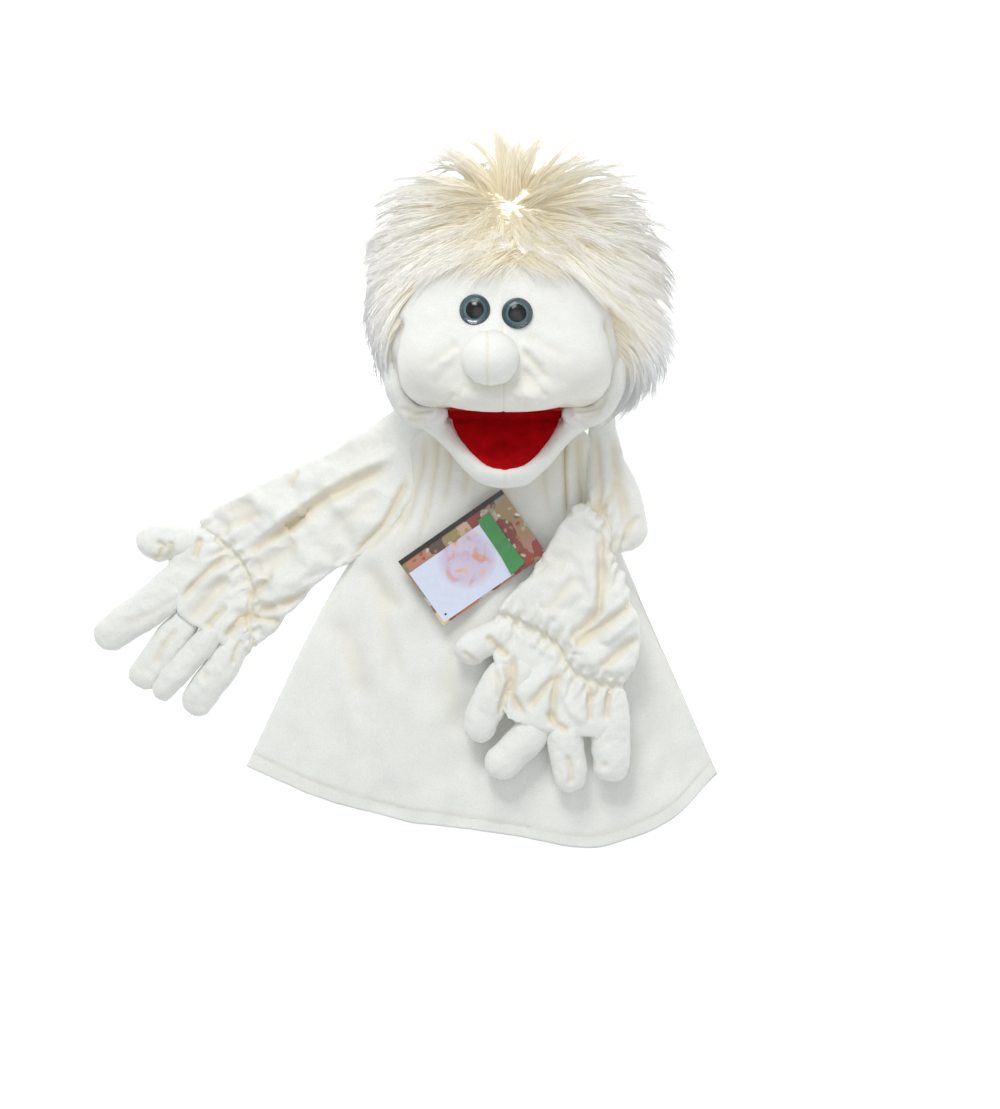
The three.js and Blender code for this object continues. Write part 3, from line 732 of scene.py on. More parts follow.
# Each part of an eye, as (radius, height above its seat) from its underside or middle outwards.
EYE_R = 13.0
DISC = [(0.3, -6), (2.3, -6), (2.3, 0.0), (12.4, 0.0), (EYE_R, 0.5), (EYE_R, 1.7), (12.5, 2.1), (10.6, 2.1),
        (9.6, 2.0), (7.6, 1.5), (0.3, 1.5)]
PUPIL = [(0.3, 1.7), (7.4, 1.7), (7.7, 2.2), (7.0, 3.4), (5.4, 4.3), (3.2, 4.9), (0.3, 5.1)]
DOME = [(0.3, 5.4), (3.4, 5.2), (5.9, 4.6), (7.8, 3.5), (8.4, 2.3)]
DOME += [(12.2 * math.cos(q), 2.3 + 5.2 * math.sin(q)) for q in np.linspace(0, math.pi / 2 - 0.02, 26)]
EYE_PARTS = [
    # piece, profile, look, CAD node, slot
    ("eye_disc", DISC, teal_look, "iris", "eye_teal"),
    ("eye_pupil_dome", PUPIL, black_look, "pupil", "eye_black"),
    ("eye_clear_dome", DOME, clear_look, "lens", "eye_clear"),
]


def build_eye(side):
    """An eye set square on the head's skin, where the CAD lens stands."""
    low, high = box_mm(f"{side}_eye_lens")
    x, y = (low + high)[:2] / 2
    step = 4.0
    normal = np.array([
        -(face_height(x + step, y) - face_height(x - step, y)) / (2 * step),
        -(face_height(x, y + step) - face_height(x, y - step)) / (2 * step),
        1.0,
    ])
    normal /= np.linalg.norm(normal)
    seat = np.array([x, y, face_height(x, y)]) - normal * 0.4
    for name, profile, look, cad, slot in EYE_PARTS:
        piece = lathe(f"{side}_{name}", profile, seat, normal, look)
        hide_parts(f"{side}_eye_{cad}")
        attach(piece, "head")


build_eye("left")
build_eye("right")

# ---------------------------------------------------------------- dress

# The hem's own shape across the dress: how far it hangs below HEM_Y, from the left edge (-1) to the right.
HEM_Y = -150.0
HEM_SAG = ([-1, -0.6, -0.29, 0.28, 0.45, 0.62, 0.8, 1], [0, 33, 49, 67, 73, 66, 48, 8])
NECK_Y = 158.0
LEFT_EDGE = ([-150, 41, 70, 100, 140, 158], [-227, -127, -96, -80, -80, -64])
RIGHT_EDGE = ([-150, 41, 70, 100, 140, 158], [199, 112, 99, 87, 86, 68])

DRESS_PLEATS = [
    ([(-60, 152), (-66, 118), (-77, 82), (-93, 44)], 4.0, 4.0),
    ([(-50, 152), (-54, 120), (-61, 84), (-68, 52)], 3.2, 3.2),
    ([(-39, 152), (-42, 118), (-47, 78)], 3.0, 2.6),
    ([(-25, 152), (-27, 112), (-31, 84)], 3.0, 2.2),
    ([(60, 156), (60, 118), (63, 66)], 2.6, 6.0),
    ([(72, 156), (74, 112), (80, 62)], 4.0, 5.0),
    ([(38, 150), (40, 110), (46, 70)], 3.6, 2.0),
    ([(-78, 140), (-79, 104), (-88, 72), (-112, 48), (-128, 40)], 3.6, 4.4),
    ([(-122, 36), (-104, 14), (-86, -14)], 9.0, 4.2),
    ([(-150, -10), (-128, -48), (-122, -96)], 12.0, 4.6),
    ([(-112, 30), (-100, -20), (-84, -84)], 10.0, 3.4),
    ([(118, 22), (150, -30), (176, -96)], 10.0, 4.6),
    ([(64, -100), (96, -124), (150, -140)], 13.0, 3.4),
    ([(-60, -60), (-30, -104), (30, -128)], 14.0, 4.0),
    ([(-20, 20), (-34, -40), (-52, -92)], 12.0, 3.0),
]


def dress_outline(u, y0):
    left = curve(y0, *LEFT_EDGE)
    right = curve(y0, *RIGHT_EDGE)
    return left + (right - left) * (u + 1) / 2


def dress_grid(rows, columns):
    v, u = np.meshgrid(np.linspace(0, 1, rows), np.linspace(-1, 1, columns), indexing="ij")
    y0 = NECK_Y + (HEM_Y - NECK_Y) * v
    x = dress_outline(u, y0)
    y = y0 - curve(u, *HEM_SAG) * v**2.4
    return u, v, x, y, y0


def front_height(u, y0):
    down = np.clip((128 - y0) / 278, 0, 1)
    crown = 26 + 27 * (1 - down) ** 2 - 10 * smooth(y0, 134, 158)
    full = (1 - np.abs(u) ** 3.0).clip(0, 1) ** 0.75
    arm = smooth(y0, 20, 70) * (1 - smooth(y0, 150, 160))
    edge = 3.5 + np.where(u < 0, 21, 30) * arm
    return edge + (crown - edge) * full + 1.0


def build_hem_stitches():
    """Short thread stitches along the hem's fold-over line."""
    points, faces = [], []
    count, from_fold = 150, 12.4
    for i in range(count):
        u = -0.985 + 1.97 * (i + 0.5) / count
        uu = np.array([u - 0.0036, u, u + 0.0036])
        sag = curve(uu, *HEM_SAG)
        rise = from_fold / (1 + 2.4 * sag / (NECK_Y - HEM_Y))
        y0 = HEM_Y + rise
        v = (NECK_Y - y0) / (NECK_Y - HEM_Y)
        x = dress_outline(uu, y0)
        y = y0 - sag * v**2.4
        z = front_height(uu, y0) - 0.2
        for k, r in ((0, 0.18), (1, 0.42), (2, 0.18)):
            for q in range(6):
                a = q * math.pi / 3
                points.append((x[k], y[k] + r * math.cos(a), z[k] + r * math.sin(a)))
        start = i * 18
        for ring in (start, start + 6):
            for q in range(6):
                after = (q + 1) % 6
                faces.append([ring + q, ring + after, ring + 6 + after, ring + 6 + q])
        faces.append([start + q for q in range(5, -1, -1)])
        faces.append([start + 12 + q for q in range(6)])
    # painted shade: the stitches sit in the hem's groove and take a quarter of the shade colour
    o = mesh_object("hem_stitches", points, faces, velour, fold=np.full(len(points), 0.25))
    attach(o, "torso")


def build_dress():
    u, v, x, y, y0 = dress_grid(210, 232)
    z = front_height(u, y0)
    flat = np.stack([x.ravel(), y.ravel()], -1)
    # painted shade in the pleats, more for deeper and narrower ones
    fold = np.zeros(x.shape)
    for path, width, depth in DRESS_PLEATS:
        c = crease(flat, path, width).reshape(x.shape)
        z = z - depth * c
        fold += np.clip(0.5 * depth / width, 0, 0.8) * c
    soft = np.stack([x / 62, y / 120, 0 * x], -1)
    loose = smooth(v, 0.15, 0.5)
    fine = np.stack([x / 22, y / 30, 0 * x], -1)
    z += 7.0 * loose * (1 - np.abs(u) ** 6) * fbm(soft, 3, 41) + 0.6 * fbm(fine, 2, 45)
    # the front stays above the back, which lies on the table
    z = np.maximum(z, 3.2)
    to_hem = y - y[-1:]
    hem = np.exp(-(((to_hem - 12) / 1.2) ** 2))
    z -= 0.9 * hem + 0.8 * (to_hem < 11)
    y = y + 1.2 * fbm(np.stack([x / 40, 0 * x, 0 * x], -1), 2, 47) * smooth(v, 0.9, 1)
    # painted shade: in the pleats, in the hem's groove and over the upper middle of the dress, under the head
    shade = np.clip(fold + 0.35 * hem + 0.5 * smooth(y0, 80, 150) * (1 - np.abs(u) ** 4), 0, 1)
    p = np.stack([x, y, z], -1)
    front = mesh_object("dress_front_cloth", p.reshape(-1, 3), grid_faces(*x.shape), velour, fold=shade)
    thicken(front, 1.4, -1)
    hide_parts("dress_front_panel")

    u, v, x, y, y0 = dress_grid(120, 150)
    x = x + 0.6 * np.sign(u)
    z = 1.4 + 0.5 * fbm(np.stack([x / 30, y / 30, 0 * x], -1), 2, 51)
    p = np.stack([x, y, z], -1)
    # painted shade: the back cloth, under the front, takes a little of the shade colour all over
    back = mesh_object("dress_back_cloth", p.reshape(-1, 3), grid_faces(*x.shape), velour, fold=0.1 + 0 * x)
    thicken(back, 1.2, -1)
    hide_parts("dress_back_panel")
    for cloth in (front, back):
        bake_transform(cloth)
    build_hem_stitches()


build_dress()


def build_neck():
    """The tube of cloth between the dress and the head, gathered into soft folds."""
    rows, columns = 60, 200
    t, a = np.meshgrid(np.linspace(0, 1, rows), round_angles(columns), indexing="ij")
    pleat = np.cos(11 * a + 1.4 * np.sin(3 * a) + 1.5 * t) * (2.4 - 0.8 * t)
    half_x = 60 + 4 * np.sin(math.pi * t) + pleat
    half_z = 25.5 + 1.5 * np.sin(math.pi * t) + 0.7 * pleat
    x = 7 + half_x * np.cos(a)
    z = 31 + half_z * np.sin(a)
    y = 130 + 46 * t
    p = np.stack([x, y, np.maximum(z, 1)], -1)
    # painted shade: the neck cloth under the head takes most of the shade colour, more in the valleys of its
    # pleats
    o = mesh_object("neck_cloth", p.reshape(-1, 3), grid_faces(rows, columns, True), velour,
                    fold=np.clip(0.75 - 0.15 * pleat, 0, 1))
    thicken(o, 1.2, 0)
    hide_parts("neck_sleeve")
    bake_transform(o)


build_neck()

# ---------------------------------------------------------------- arms


class Limb:
    """A flat frame laid along an arm: s runs down it, n runs across it, z is up."""

    def __init__(self, base, along):
        self.base = np.array(base, float)
        self.along = np.array(along, float) / np.linalg.norm(along)
        self.across = np.array([-self.along[1], self.along[0]])
        if self.across[0] < 0:
            self.across = -self.across

    def world(self, s, n, z):
        s, n, z = np.broadcast_arrays(np.asarray(s, float), n, z)
        flat = self.base + s[..., None] * self.along + n[..., None] * self.across
        return np.concatenate([flat, z[..., None]], -1)

    def local(self, p):
        rel = p[..., :2] - self.base
        return rel @ self.along, rel @ self.across


def oval(angle, power=2.5):
    c, s = np.cos(angle), np.sin(angle)
    return np.sign(c) * np.abs(c) ** (2 / power), np.sign(s) * np.abs(s) ** (2 / power)


def sleeve_tube(limb, top, bottom, sides, heights, rows=30, columns=64):
    """A closed tube between two lines across the limb.
    sides gives its left and right edges along it, heights its low and high ones."""
    v = np.linspace(0, 1, rows)[:, None]
    c, s = oval(round_angles(columns)[None, :])
    left, right = curve(v, *sides[0]), curve(v, *sides[1])
    low, high = curve(v, *heights[0]), curve(v, *heights[1])
    n = (left + right) / 2 + (right - left) / 2 * c
    z = (low + high) / 2 + (high - low) / 2 * s
    along = (1 - v) * curve(n, *top) + v * curve(n, *bottom)
    return closed_tube(limb.world(along, n, z))


def finger_tube(limb, spine, widths, low, high, columns=36, steps=40):
    """A stuffed finger along a bent spine of (s, n) points, rounded at its tip."""
    spine = np.asarray(spine, float)
    at = np.linspace(0, 1, len(spine))
    t = np.linspace(0, 1, steps)
    s, n = curve(t, at, spine[:, 0]), curve(t, at, spine[:, 1])
    d = np.stack([np.gradient(s), np.gradient(n)], -1)
    d /= np.linalg.norm(d, axis=1, keepdims=True)
    length = np.linalg.norm(np.diff(spine, axis=0), axis=1).sum()
    half = curve(t, np.linspace(0, 1, len(widths)), widths)
    from_tip = np.clip((1 - t) * length / widths[-1], 0, 1)
    rounding = np.sqrt(np.clip(1 - (1 - from_tip) ** 2, 0.0004, 1))
    half = half * rounding
    under, over = curve(t, np.linspace(0, 1, len(low)), low), curve(t, np.linspace(0, 1, len(high)), high)
    zc, zh = (under + over) / 2, (over - under) / 2 * rounding
    c, k = oval(round_angles(columns)[None, :], 2.2)
    ss = s[:, None] - d[:, 1:] * half[:, None] * c
    nn = n[:, None] + d[:, :1] * half[:, None] * c
    return closed_tube(limb.world(ss, nn, zc[:, None] + zh[:, None] * k))


def settle(o, pinned, growth=0.05, pressure=0.5, frames=20, cap=5.0):
    """Lets the limb's cloth buckle by itself: it is cut a little too large and held at its gathered lines.
    No point moves further than cap."""
    start, _ = mesh_arrays(o.data)
    group = o.vertex_groups.new(name="held")
    pinned = np.round(pinned, 1)
    for level in np.unique(pinned):
        if level > 0:
            group.add(np.flatnonzero(pinned == level).tolist(), float(level), "REPLACE")
    m = o.modifiers.new("cloth", "CLOTH")
    c = m.settings
    c.quality = 5
    c.mass = 0.12
    c.tension_stiffness = c.compression_stiffness = 12
    c.shear_stiffness = 4
    c.bending_stiffness = 6.0
    c.tension_damping = c.compression_damping = 8
    c.air_damping = 3
    c.vertex_group_mass = "held"
    c.pin_stiffness = 0.6
    c.shrink_min = -growth
    c.use_pressure = True
    c.uniform_pressure_force = pressure
    c.effector_weights.gravity = 0
    m.collision_settings.use_collision = False
    m.point_cache.frame_start = 1
    m.point_cache.frame_end = frames
    scene = bpy.context.scene
    for frame_number in range(1, frames + 1):
        scene.frame_set(frame_number)
    settled, _ = mesh_arrays(o.evaluated_get(bpy.context.evaluated_depsgraph_get()).data)
    o.modifiers.remove(m)
    o.vertex_groups.clear()
    move = settled - start
    far = np.linalg.norm(move, axis=1, keepdims=True)
    move *= np.minimum(1, cap / np.maximum(far, 1e-6))
    set_points(o.data, start + move)
    scene.frame_set(1)


def hold_near(p, limb, lines, width):
    s, n = limb.local(p)
    held = np.zeros(len(p))
    for line in lines:
        held = np.maximum(held, np.exp(-(((s - curve(n, *line)) / width) ** 2)))
    return held


def split_limb(whole, limb, regions):
    """Cuts the finished limb into its pieces.
    regions: (name, chooser of (s, n), body_a, body_b, start, end, replaced nodes); body_a, body_b, start and
    end are not used."""
    mesh = whole.data
    p, normals = mesh_arrays(mesh)
    fold = np.empty(len(p), np.float32)
    mesh.attributes["fold"].data.foreach_get("value", fold)
    faces = np.empty(len(mesh.loops), np.int64)
    mesh.loops.foreach_get("vertex_index", faces)
    sizes = np.empty(len(mesh.polygons), np.int64)
    mesh.polygons.foreach_get("loop_total", sizes)
    starts = np.r_[0, np.cumsum(sizes)[:-1]]
    along, across = limb.local(np.add.reduceat(p[faces], starts, axis=0) / sizes[:, None])
    taken = np.zeros(len(sizes), bool)
    for name, chooser, body_a, body_b, start, end, replaced in regions:
        mask = chooser(along, across) & ~taken
        taken |= mask
        chosen = [faces[a:a + n] for a, n in zip(starts[mask], sizes[mask])]
        used = np.unique(np.concatenate(chosen))
        lookup = np.full(len(p), -1)
        lookup[used] = np.arange(len(used))
        o = mesh_object(name, p[used], [lookup[f].tolist() for f in chosen], velour, fold=fold[used])
        o.data.normals_split_custom_set_from_vertices(normals[used].tolist())
        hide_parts(*replaced)
        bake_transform(o)
    bpy.data.objects.remove(whole)


def puckers(s, n, line, reach, pitch, seed):
    """Ripples that radiate from a gathered line, and the line's own groove. Returns (height, painted shade),
    the shade laid in the groove and the ripples' troughs.
    """
    gap = s - curve(n, *line)
    flat = np.stack([n / 17, gap / 26, 0 * n + seed], -1)
    warp = n + 3.4 * noise(flat, seed) + 0.12 * gap * noise(np.stack([n / 30, 0 * n, 0 * n], -1), seed + 3)
    wave = np.cos(TURN * warp / pitch + 1.2 * noise(flat * 2.3, seed + 5))
    length = reach * (1 + 0.45 * noise(np.stack([n / 9, np.sign(gap), 0 * n], -1), seed + 7))
    envelope = np.exp(-((gap / length) ** 2)) * smooth(np.abs(gap), 0, 4)
    groove = np.exp(-((gap / 2.6) ** 2))
    shade = np.clip(0.5 * groove + 0.42 * np.clip(-wave, 0, 1) * envelope, 0, 1)
    return 2.3 * wave * envelope - 4.2 * groove, shade


def draw_folds(p, normals, limb, folds, gathers, seed):
    """How far the drawn folds and gathers move each point out, and how much painted shade they lay in their
    creases and troughs.
    """
    s, n = limb.local(p)
    flat = np.stack([s, n], -1)
    up = smooth(normals[:, 2], -0.1, 0.6)
    height, shade = np.zeros(len(p)), np.zeros(len(p))
    for path, width, depth in folds:
        c = crease(flat, path, width, 0.2)
        height -= depth * c * up
        shade += np.clip(0.6 * depth / width, 0, 0.85) * c * up
    for line, reach, pitch in gathers:
        h, k = puckers(s, n, line, reach, pitch, seed)
        height += h
        shade += k
    height += 1.1 * fbm(np.stack([s / 30, n / 22, 0 * s], -1), 3, seed) + 0.35 * fbm(p / 7, 2, seed + 9)
    return height, np.clip(shade, 0, 1)


def finish_cloth(o, p, height, normals, shade):
    p = p + normals * height[:, None]
    p[:, 2] = np.maximum(p[:, 2], ABOVE_TABLE)
    set_points(o.data, p)
    set_values(o.data, "fold", shade)


def build_fingers(limb, side, fingers, folds, top, seed):
    """Each finger is its own closed tube of cloth, rooted inside the palm."""
    for k, (name, (spine, widths, low, high, knuckle, toward)) in enumerate(fingers.items()):
        o = fused(f"{side}_{name}_cloth", [finger_tube(limb, spine, widths, low, high)], 2.2, 3)
        refine(o)
        p, normals = mesh_arrays(o.data)
        height, shade = draw_folds(p, normals, limb, folds, [], seed + k)
        finish_cloth(o, p, height + 0.5 * fbm(p / 12, 2, seed + k), normals, shade)
        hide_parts(f"{side}_{name}")
        s, n = knuckle
        ds, dn = np.array(toward) / math.hypot(*toward)
        start, end = (limb.world(s + reach * ds, n + reach * dn, top) * MM for reach in (-5, 9))
        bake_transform(o)


def build_arm(limb, side, parts, folds, gathers, seed):
    """The sleeve and palm as one skin, buckled, creased and gathered."""
    whole = fused(f"{side}_arm_whole", parts, 3.0, 3)
    p, _ = mesh_arrays(whole.data)
    settle(whole, 0.1 + 0.9 * hold_near(p, limb, [line for line, _, _ in gathers], 6))
    refine(whole)
    p, normals = mesh_arrays(whole.data)
    height, shade = draw_folds(p, normals, limb, folds, gathers, seed)
    finish_cloth(whole, p, height, normals, shade)
    refine(whole)
    return whole


LEFT_ARM = Limb((-96, 113), (-0.834, -0.551))
RIGHT_ARM = Limb((112, 66), (-0.4, -0.9165))

# Lines across an arm, as (n, s): where it is sewn on or gathered, and where its fingers start.
LEFT_ARMHOLE = ([-50, -20, 0, 16, 35, 46], [-52, -52, -44, -28, 8, 44])
LEFT_WRIST = ([-66, -45, -30, -10, 13, 30, 50, 68], [172, 166, 160, 157, 161, 172, 184, 190])
LEFT_KNUCKLES = ([-60, -40, -20, 0, 20, 40, 60, 75], [196, 214, 224, 228, 222, 214, 208, 204])

LEFT_FOLDS = [
    # the long hollow along the middle of the sleeve, under its rolled upper half
    ([(-8, -6), (28, -13), (58, -15), (90, -12), (124, -10)], 6.5, 9.0),
    ([(70, -16), (96, -12), (120, -12), (150, -12)], 4.0, 5.0),
    ([(-28, -18), (-8, -14), (40, -20), (80, -21), (120, -20), (152, -19)], 5.0, -3.5),
    ([(96, 2), (116, 5), (137, 6), (156, 0)], 8.0, 4.2),
    ([(136, 14), (152, 20), (170, 24)], 4.0, 4.2),
    ([(110, 50), (134, 47), (152, 42), (174, 33)], 4.2, 5.0),
    ([(150, 64), (162, 50), (176, 36), (192, 38)], 3.6, 4.6),
    ([(146, -58), (132, -50), (112, -46)], 7.0, 3.4),
    ([(158, -46), (146, -43), (130, -39), (112, -33)], 5.0, 3.4),
    ([(66, -50), (77, -44), (84, -38)], 3.0, 3.0),
    ([(40, 22), (70, 24), (100, 26)], 13.0, 1.8),
    ([(-24, -34), (4, -30), (40, -36)], 10.0, 2.0),
    # where the sleeve is sewn to the dress, and the puff beside it
    ([(-15, 6), (-5, 16), (30, 35), (61, 41), (76, 44)], 3.4, 5.0),
    ([(-34, 4), (-22, 22), (4, 44)], 5.0, 3.0),
    ([(14, 6), (44, 12), (72, 8)], 7.0, 2.6),
    # the palm
    ([(157, -21), (184, -18), (206, -14), (222, -8)], 3.4, 4.5),
    ([(170, -4), (189, 0), (208, 6), (226, 12)], 5.5, 4.6),
    ([(186, 16), (202, 19), (216, 25)], 3.2, 5.0),
    ([(176, 30), (190, 36), (206, 42)], 3.4, 4.2),
    ([(192, 50), (204, 56), (214, 66)], 3.0, 2.8),
    ([(172, -48), (182, -40), (190, -33)], 3.0, 4.0),
    # fingers
    ([(208, -68), (205, -58), (214, -52), (222, -58)], 2.6, 3.2),
    ([(196, -60), (203, -50), (214, -46)], 2.8, 3.2),
    ([(225, -12), (250, -14), (280, -20)], 4.0, 1.4),
    ([(236, 8), (256, 16), (276, 28)], 3.4, 2.6),
    ([(232, 58), (246, 62)], 4.0, 2.0),
]


LEFT_FINGERS = {
    # spine as (s, n), half widths, lower and upper edges, knuckle, and the way the finger points
    "thumb": ([(168, -34), (192, -56), (212, -66), (226, -64)], [13, 15.5, 17, 15],
              [4, 2, 2, 3], [21, 26, 29, 27], (181, -52), (51, -24)),
    "index_finger": ([(194, -26), (232, -22), (268, -21), (306, -20)], [19, 18.5, 17.5, 15.5],
                     [3, 2, 2, 2], [23, 27, 26, 24], (216, -30), (94, 9)),
    "middle_finger": ([(198, 3), (236, 10), (268, 22), (298, 32)], [9, 13.5, 15, 15],
                      [2, 1.5, 1.5, 2], [20, 20, 20, 18], (219, 4), (82, 32)),
    "ring_finger": ([(194, 28), (226, 34), (256, 42), (288, 53)], [8, 12, 12, 10],
                    [3, 3, 3, 3], [24, 28, 28, 23], (213, 32), (70, 22)),
    "little_finger": ([(186, 43), (222, 60), (246, 69), (272, 78)], [9, 15.5, 15.5, 13.5],
                      [2, 2, 2, 2], [24, 24, 22, 18], (206, 58), (60, 22)),
}


def build_left_arm():
    arm, top = LEFT_ARM, 24.0
    sleeve = sleeve_tube(
        arm, LEFT_ARMHOLE, LEFT_WRIST,
        (([0, 0.25, 0.5, 0.62, 0.8, 1], [-45, -47, -50, -55, -61, -62]),
         ([0, 0.3, 0.5, 0.7, 0.85, 1], [45, 46, 48, 54, 61, 62])),
        (([0, 1], [1.5, 1.5]), ([0, 0.12, 0.4, 0.75, 0.93, 1], [30, 32, 28, 27, 23, 20])), rows=60)
    palm = sleeve_tube(
        arm, ([-70, 80], [160, 178]), LEFT_KNUCKLES,
        (([0, 0.4, 1], [-58, -56, -46]), ([0, 0.4, 1], [62, 66, 66])),
        (([0, 1], [2, 2]), ([0, 0.4, 1], [20, 25, 23])), rows=24)
    whole = build_arm(arm, "left", [sleeve, palm], LEFT_FOLDS, [(LEFT_WRIST, 13, 11.5)], 61)
    build_fingers(arm, "left", LEFT_FINGERS, LEFT_FOLDS, top, 90)
    split_limb(whole, arm, [
        ("left_shoulder_cloth", lambda s, n: s < 42, "torso", "left_upper_arm",
         arm.world(-22, 0, top), arm.world(20, 0, top), ["left_upper_sleeve"]),
        ("left_sleeve_cloth", lambda s, n: s < 124, "left_upper_arm", "left_forearm",
         arm.world(66, 0, top), arm.world(92, 0, top), ["left_sleeve_elastic", "left_forearm_sleeve"]),
        ("left_glove_cloth", lambda s, n: s < math.inf, "left_forearm", "left_hand",
         arm.world(154, 0, top), arm.world(182, 0, top), ["left_wrist_elastic", "left_palm"]),
    ])


build_left_arm()

RIGHT_GATHER = ([-60, -48, -27, -12, -4, 12, 40], [-12, -9, -6, 4, 18, 31, 40])
RIGHT_WRIST = ([-90, -82, -62, -33, -11, 0, 16, 40, 64], [124, 120, 114, 116, 121, 130, 137, 135, 126])
RIGHT_KNUCKLES = ([-80, -60, -44, -20, 0, 20, 40, 60, 80], [148, 164, 184, 196, 196, 190, 184, 178, 168])

RIGHT_FOLDS = [
    # the upper sleeve
    ([(-74, -42), (-48, -28), (-22, -10), (2, 6)], 4.6, 4.4),
    ([(-70, -58), (-46, -46), (-20, -32), (6, -22)], 4.2, 3.6),
    ([(-40, -24), (-20, -20), (-2, -24)], 4.4, 3.2),
    ([(-16, 10), (0, 4), (18, 6)], 3.6, 3.4),
    # the forearm
    ([(6, -18), (30, -8), (52, 3), (77, 9), (98, 2), (116, -6)], 4.2, 7.0),
    ([(10, -12), (34, -2), (56, 10)], 5.0, -3.0),
    ([(49, 40), (64, 32), (82, 22), (103, 9), (118, 0)], 4.4, 6.0),
    ([(81, 56), (94, 46), (107, 39), (128, 29)], 4.6, 5.4),
    ([(54, -18), (68, -24), (84, -30), (100, -36)], 5.0, 3.0),
    ([(20, -34), (48, -40), (80, -52)], 9.0, 2.4),
    ([(64, 42), (84, 34), (104, 22)], 4.0, -3.0),
    # the glove
    ([(140, -46), (160, -36), (177, -31), (191, -12)], 3.4, 5.0),
    ([(142, -2), (156, -6), (168, -10), (183, -14)], 3.6, 5.0),
    ([(150, -50), (166, -38), (184, -36), (200, -33)], 3.0, 5.0),
    ([(136, -2), (148, 1), (160, 3), (187, 12)], 3.0, 4.6),
    ([(138, 27), (154, 35), (172, 43)], 3.0, 4.4),
    ([(134, 46), (150, 50), (165, 54)], 3.0, 4.2),
    ([(150, 4), (160, 14), (168, 23), (173, 40)], 4.0, -3.0),
    ([(176, 2), (184, 16), (186, 30)], 3.2, 4.0),
    ([(136, -74), (142, -60), (146, -46)], 3.2, 4.4),
    ([(158, -88), (162, -74), (164, -64)], 3.0, 2.8),
    ([(160, -56), (170, -46), (186, -40)], 3.2, 2.6),
    ([(204, 34), (214, 42), (230, 50)], 3.2, 3.0),
    ([(196, 66), (206, 72)], 4.0, 2.4),
]


RIGHT_FINGERS = {
    "thumb": ([(122, -52), (140, -71), (154, -80), (168, -82)], [13, 14.5, 14, 12],
              [42, 39, 38, 38], [60, 64, 64, 60], (132, -58), (36, -24)),
    "index_finger": ([(146, -28), (170, -44), (198, -47), (228, -42)], [16, 18, 16.5, 14],
                     [42, 38, 37, 37], [62, 65, 63, 60], (164, -42), (60, -4)),
    "middle_finger": ([(160, -2), (194, -2), (222, -10), (250, -20)], [15, 17, 16.5, 14.5],
                      [42, 37, 36, 36], [61, 62, 61, 59], (172, -6), (75, -10)),
    "ring_finger": ([(152, 22), (186, 26), (210, 39), (234, 54)], [14, 16, 16.5, 13],
                    [42, 38, 37, 37], [62, 65, 64, 60], (168, 23), (62, 28)),
    "little_finger": ([(138, 46), (168, 61), (194, 74), (213, 80)], [15, 18, 17, 14],
                      [42, 37, 36, 36], [61, 63, 61, 58], (156, 54), (57, 30)),
}


def build_right_arm():
    arm, inside = RIGHT_ARM, 60
    upper = finger_tube(
        arm, [(-98, -58), (-72, -49), (-44, -34), (-18, -17), (2, -4), (22, 8)], [8, 12, 17, 24, 25, 20],
        [14, 16, 26, 34, 36, 38], [30, 44, 56, 63, 64, 60], columns=56, steps=50)
    sleeve = sleeve_tube(
        arm, RIGHT_GATHER, RIGHT_WRIST,
        (([0, 0.1, 0.5, 0.8, 1], [-44, -48, -55, -66, -76]), ([0, 0.1, 0.3, 0.6, 1], [14, 22, 44, 56, 60])),
        (([0, 1], [46, 42]), ([0, 0.12, 0.4, 0.8, 0.95, 1], [63, 69, 71, 71, 66, 62])), rows=60)
    palm = sleeve_tube(
        arm, ([-90, 80], [120, 130]), RIGHT_KNUCKLES,
        (([0, 0.5, 1], [-74, -66, -44]), ([0, 0.4, 1], [60, 64, 70])),
        (([0, 1], [41, 39]), ([0, 0.4, 1], [62, 66, 62])), rows=24)
    gathers = [(RIGHT_WRIST, 14, 11), (RIGHT_GATHER, 12, 9.5)]
    whole = build_arm(arm, "right", [upper, sleeve, palm], RIGHT_FOLDS, gathers, 83)
    build_fingers(arm, "right", RIGHT_FINGERS, RIGHT_FOLDS, 62.9, 95)
    shoulder = pivot_mm("right_shoulder")
    split_limb(whole, arm, [
        ("right_shoulder_cloth", lambda s, n: (s < -14) & (n < 30), "torso", "right_upper_arm",
         shoulder + np.array([6, 26, 0]), shoulder + np.array([-1, 4, 0]), ["right_upper_sleeve"]),
        ("right_sleeve_cloth", lambda s, n: s < 72, "right_upper_arm", "right_forearm",
         arm.world(-8, 0, inside), arm.world(16, 0, inside),
         ["right_sleeve_elastic", "right_forearm_sleeve"]),
        ("right_glove_cloth", lambda s, n: s < math.inf, "right_forearm", "right_hand",
         arm.world(104, 0, inside), arm.world(130, 0, inside), ["right_wrist_elastic", "right_palm"]),
    ])


build_right_arm()

# ---------------------------------------------------------------- hang tag

TAG_AT = np.array([4.0, 99.0, 59.0])
TAG_TURN = math.radians(-145)
TAG_TILT = math.radians(7.4)


def tag_world(x, y, z):
    x, y, z = np.broadcast_arrays(np.asarray(x, float), y, z)
    c, s = math.cos(TAG_TURN), math.sin(TAG_TURN)
    px, py = c * x - s * y, s * x + c * y
    c, s = math.cos(TAG_TILT), math.sin(TAG_TILT)
    return TAG_AT + np.stack([px, c * py - s * z, s * py + c * z], -1)


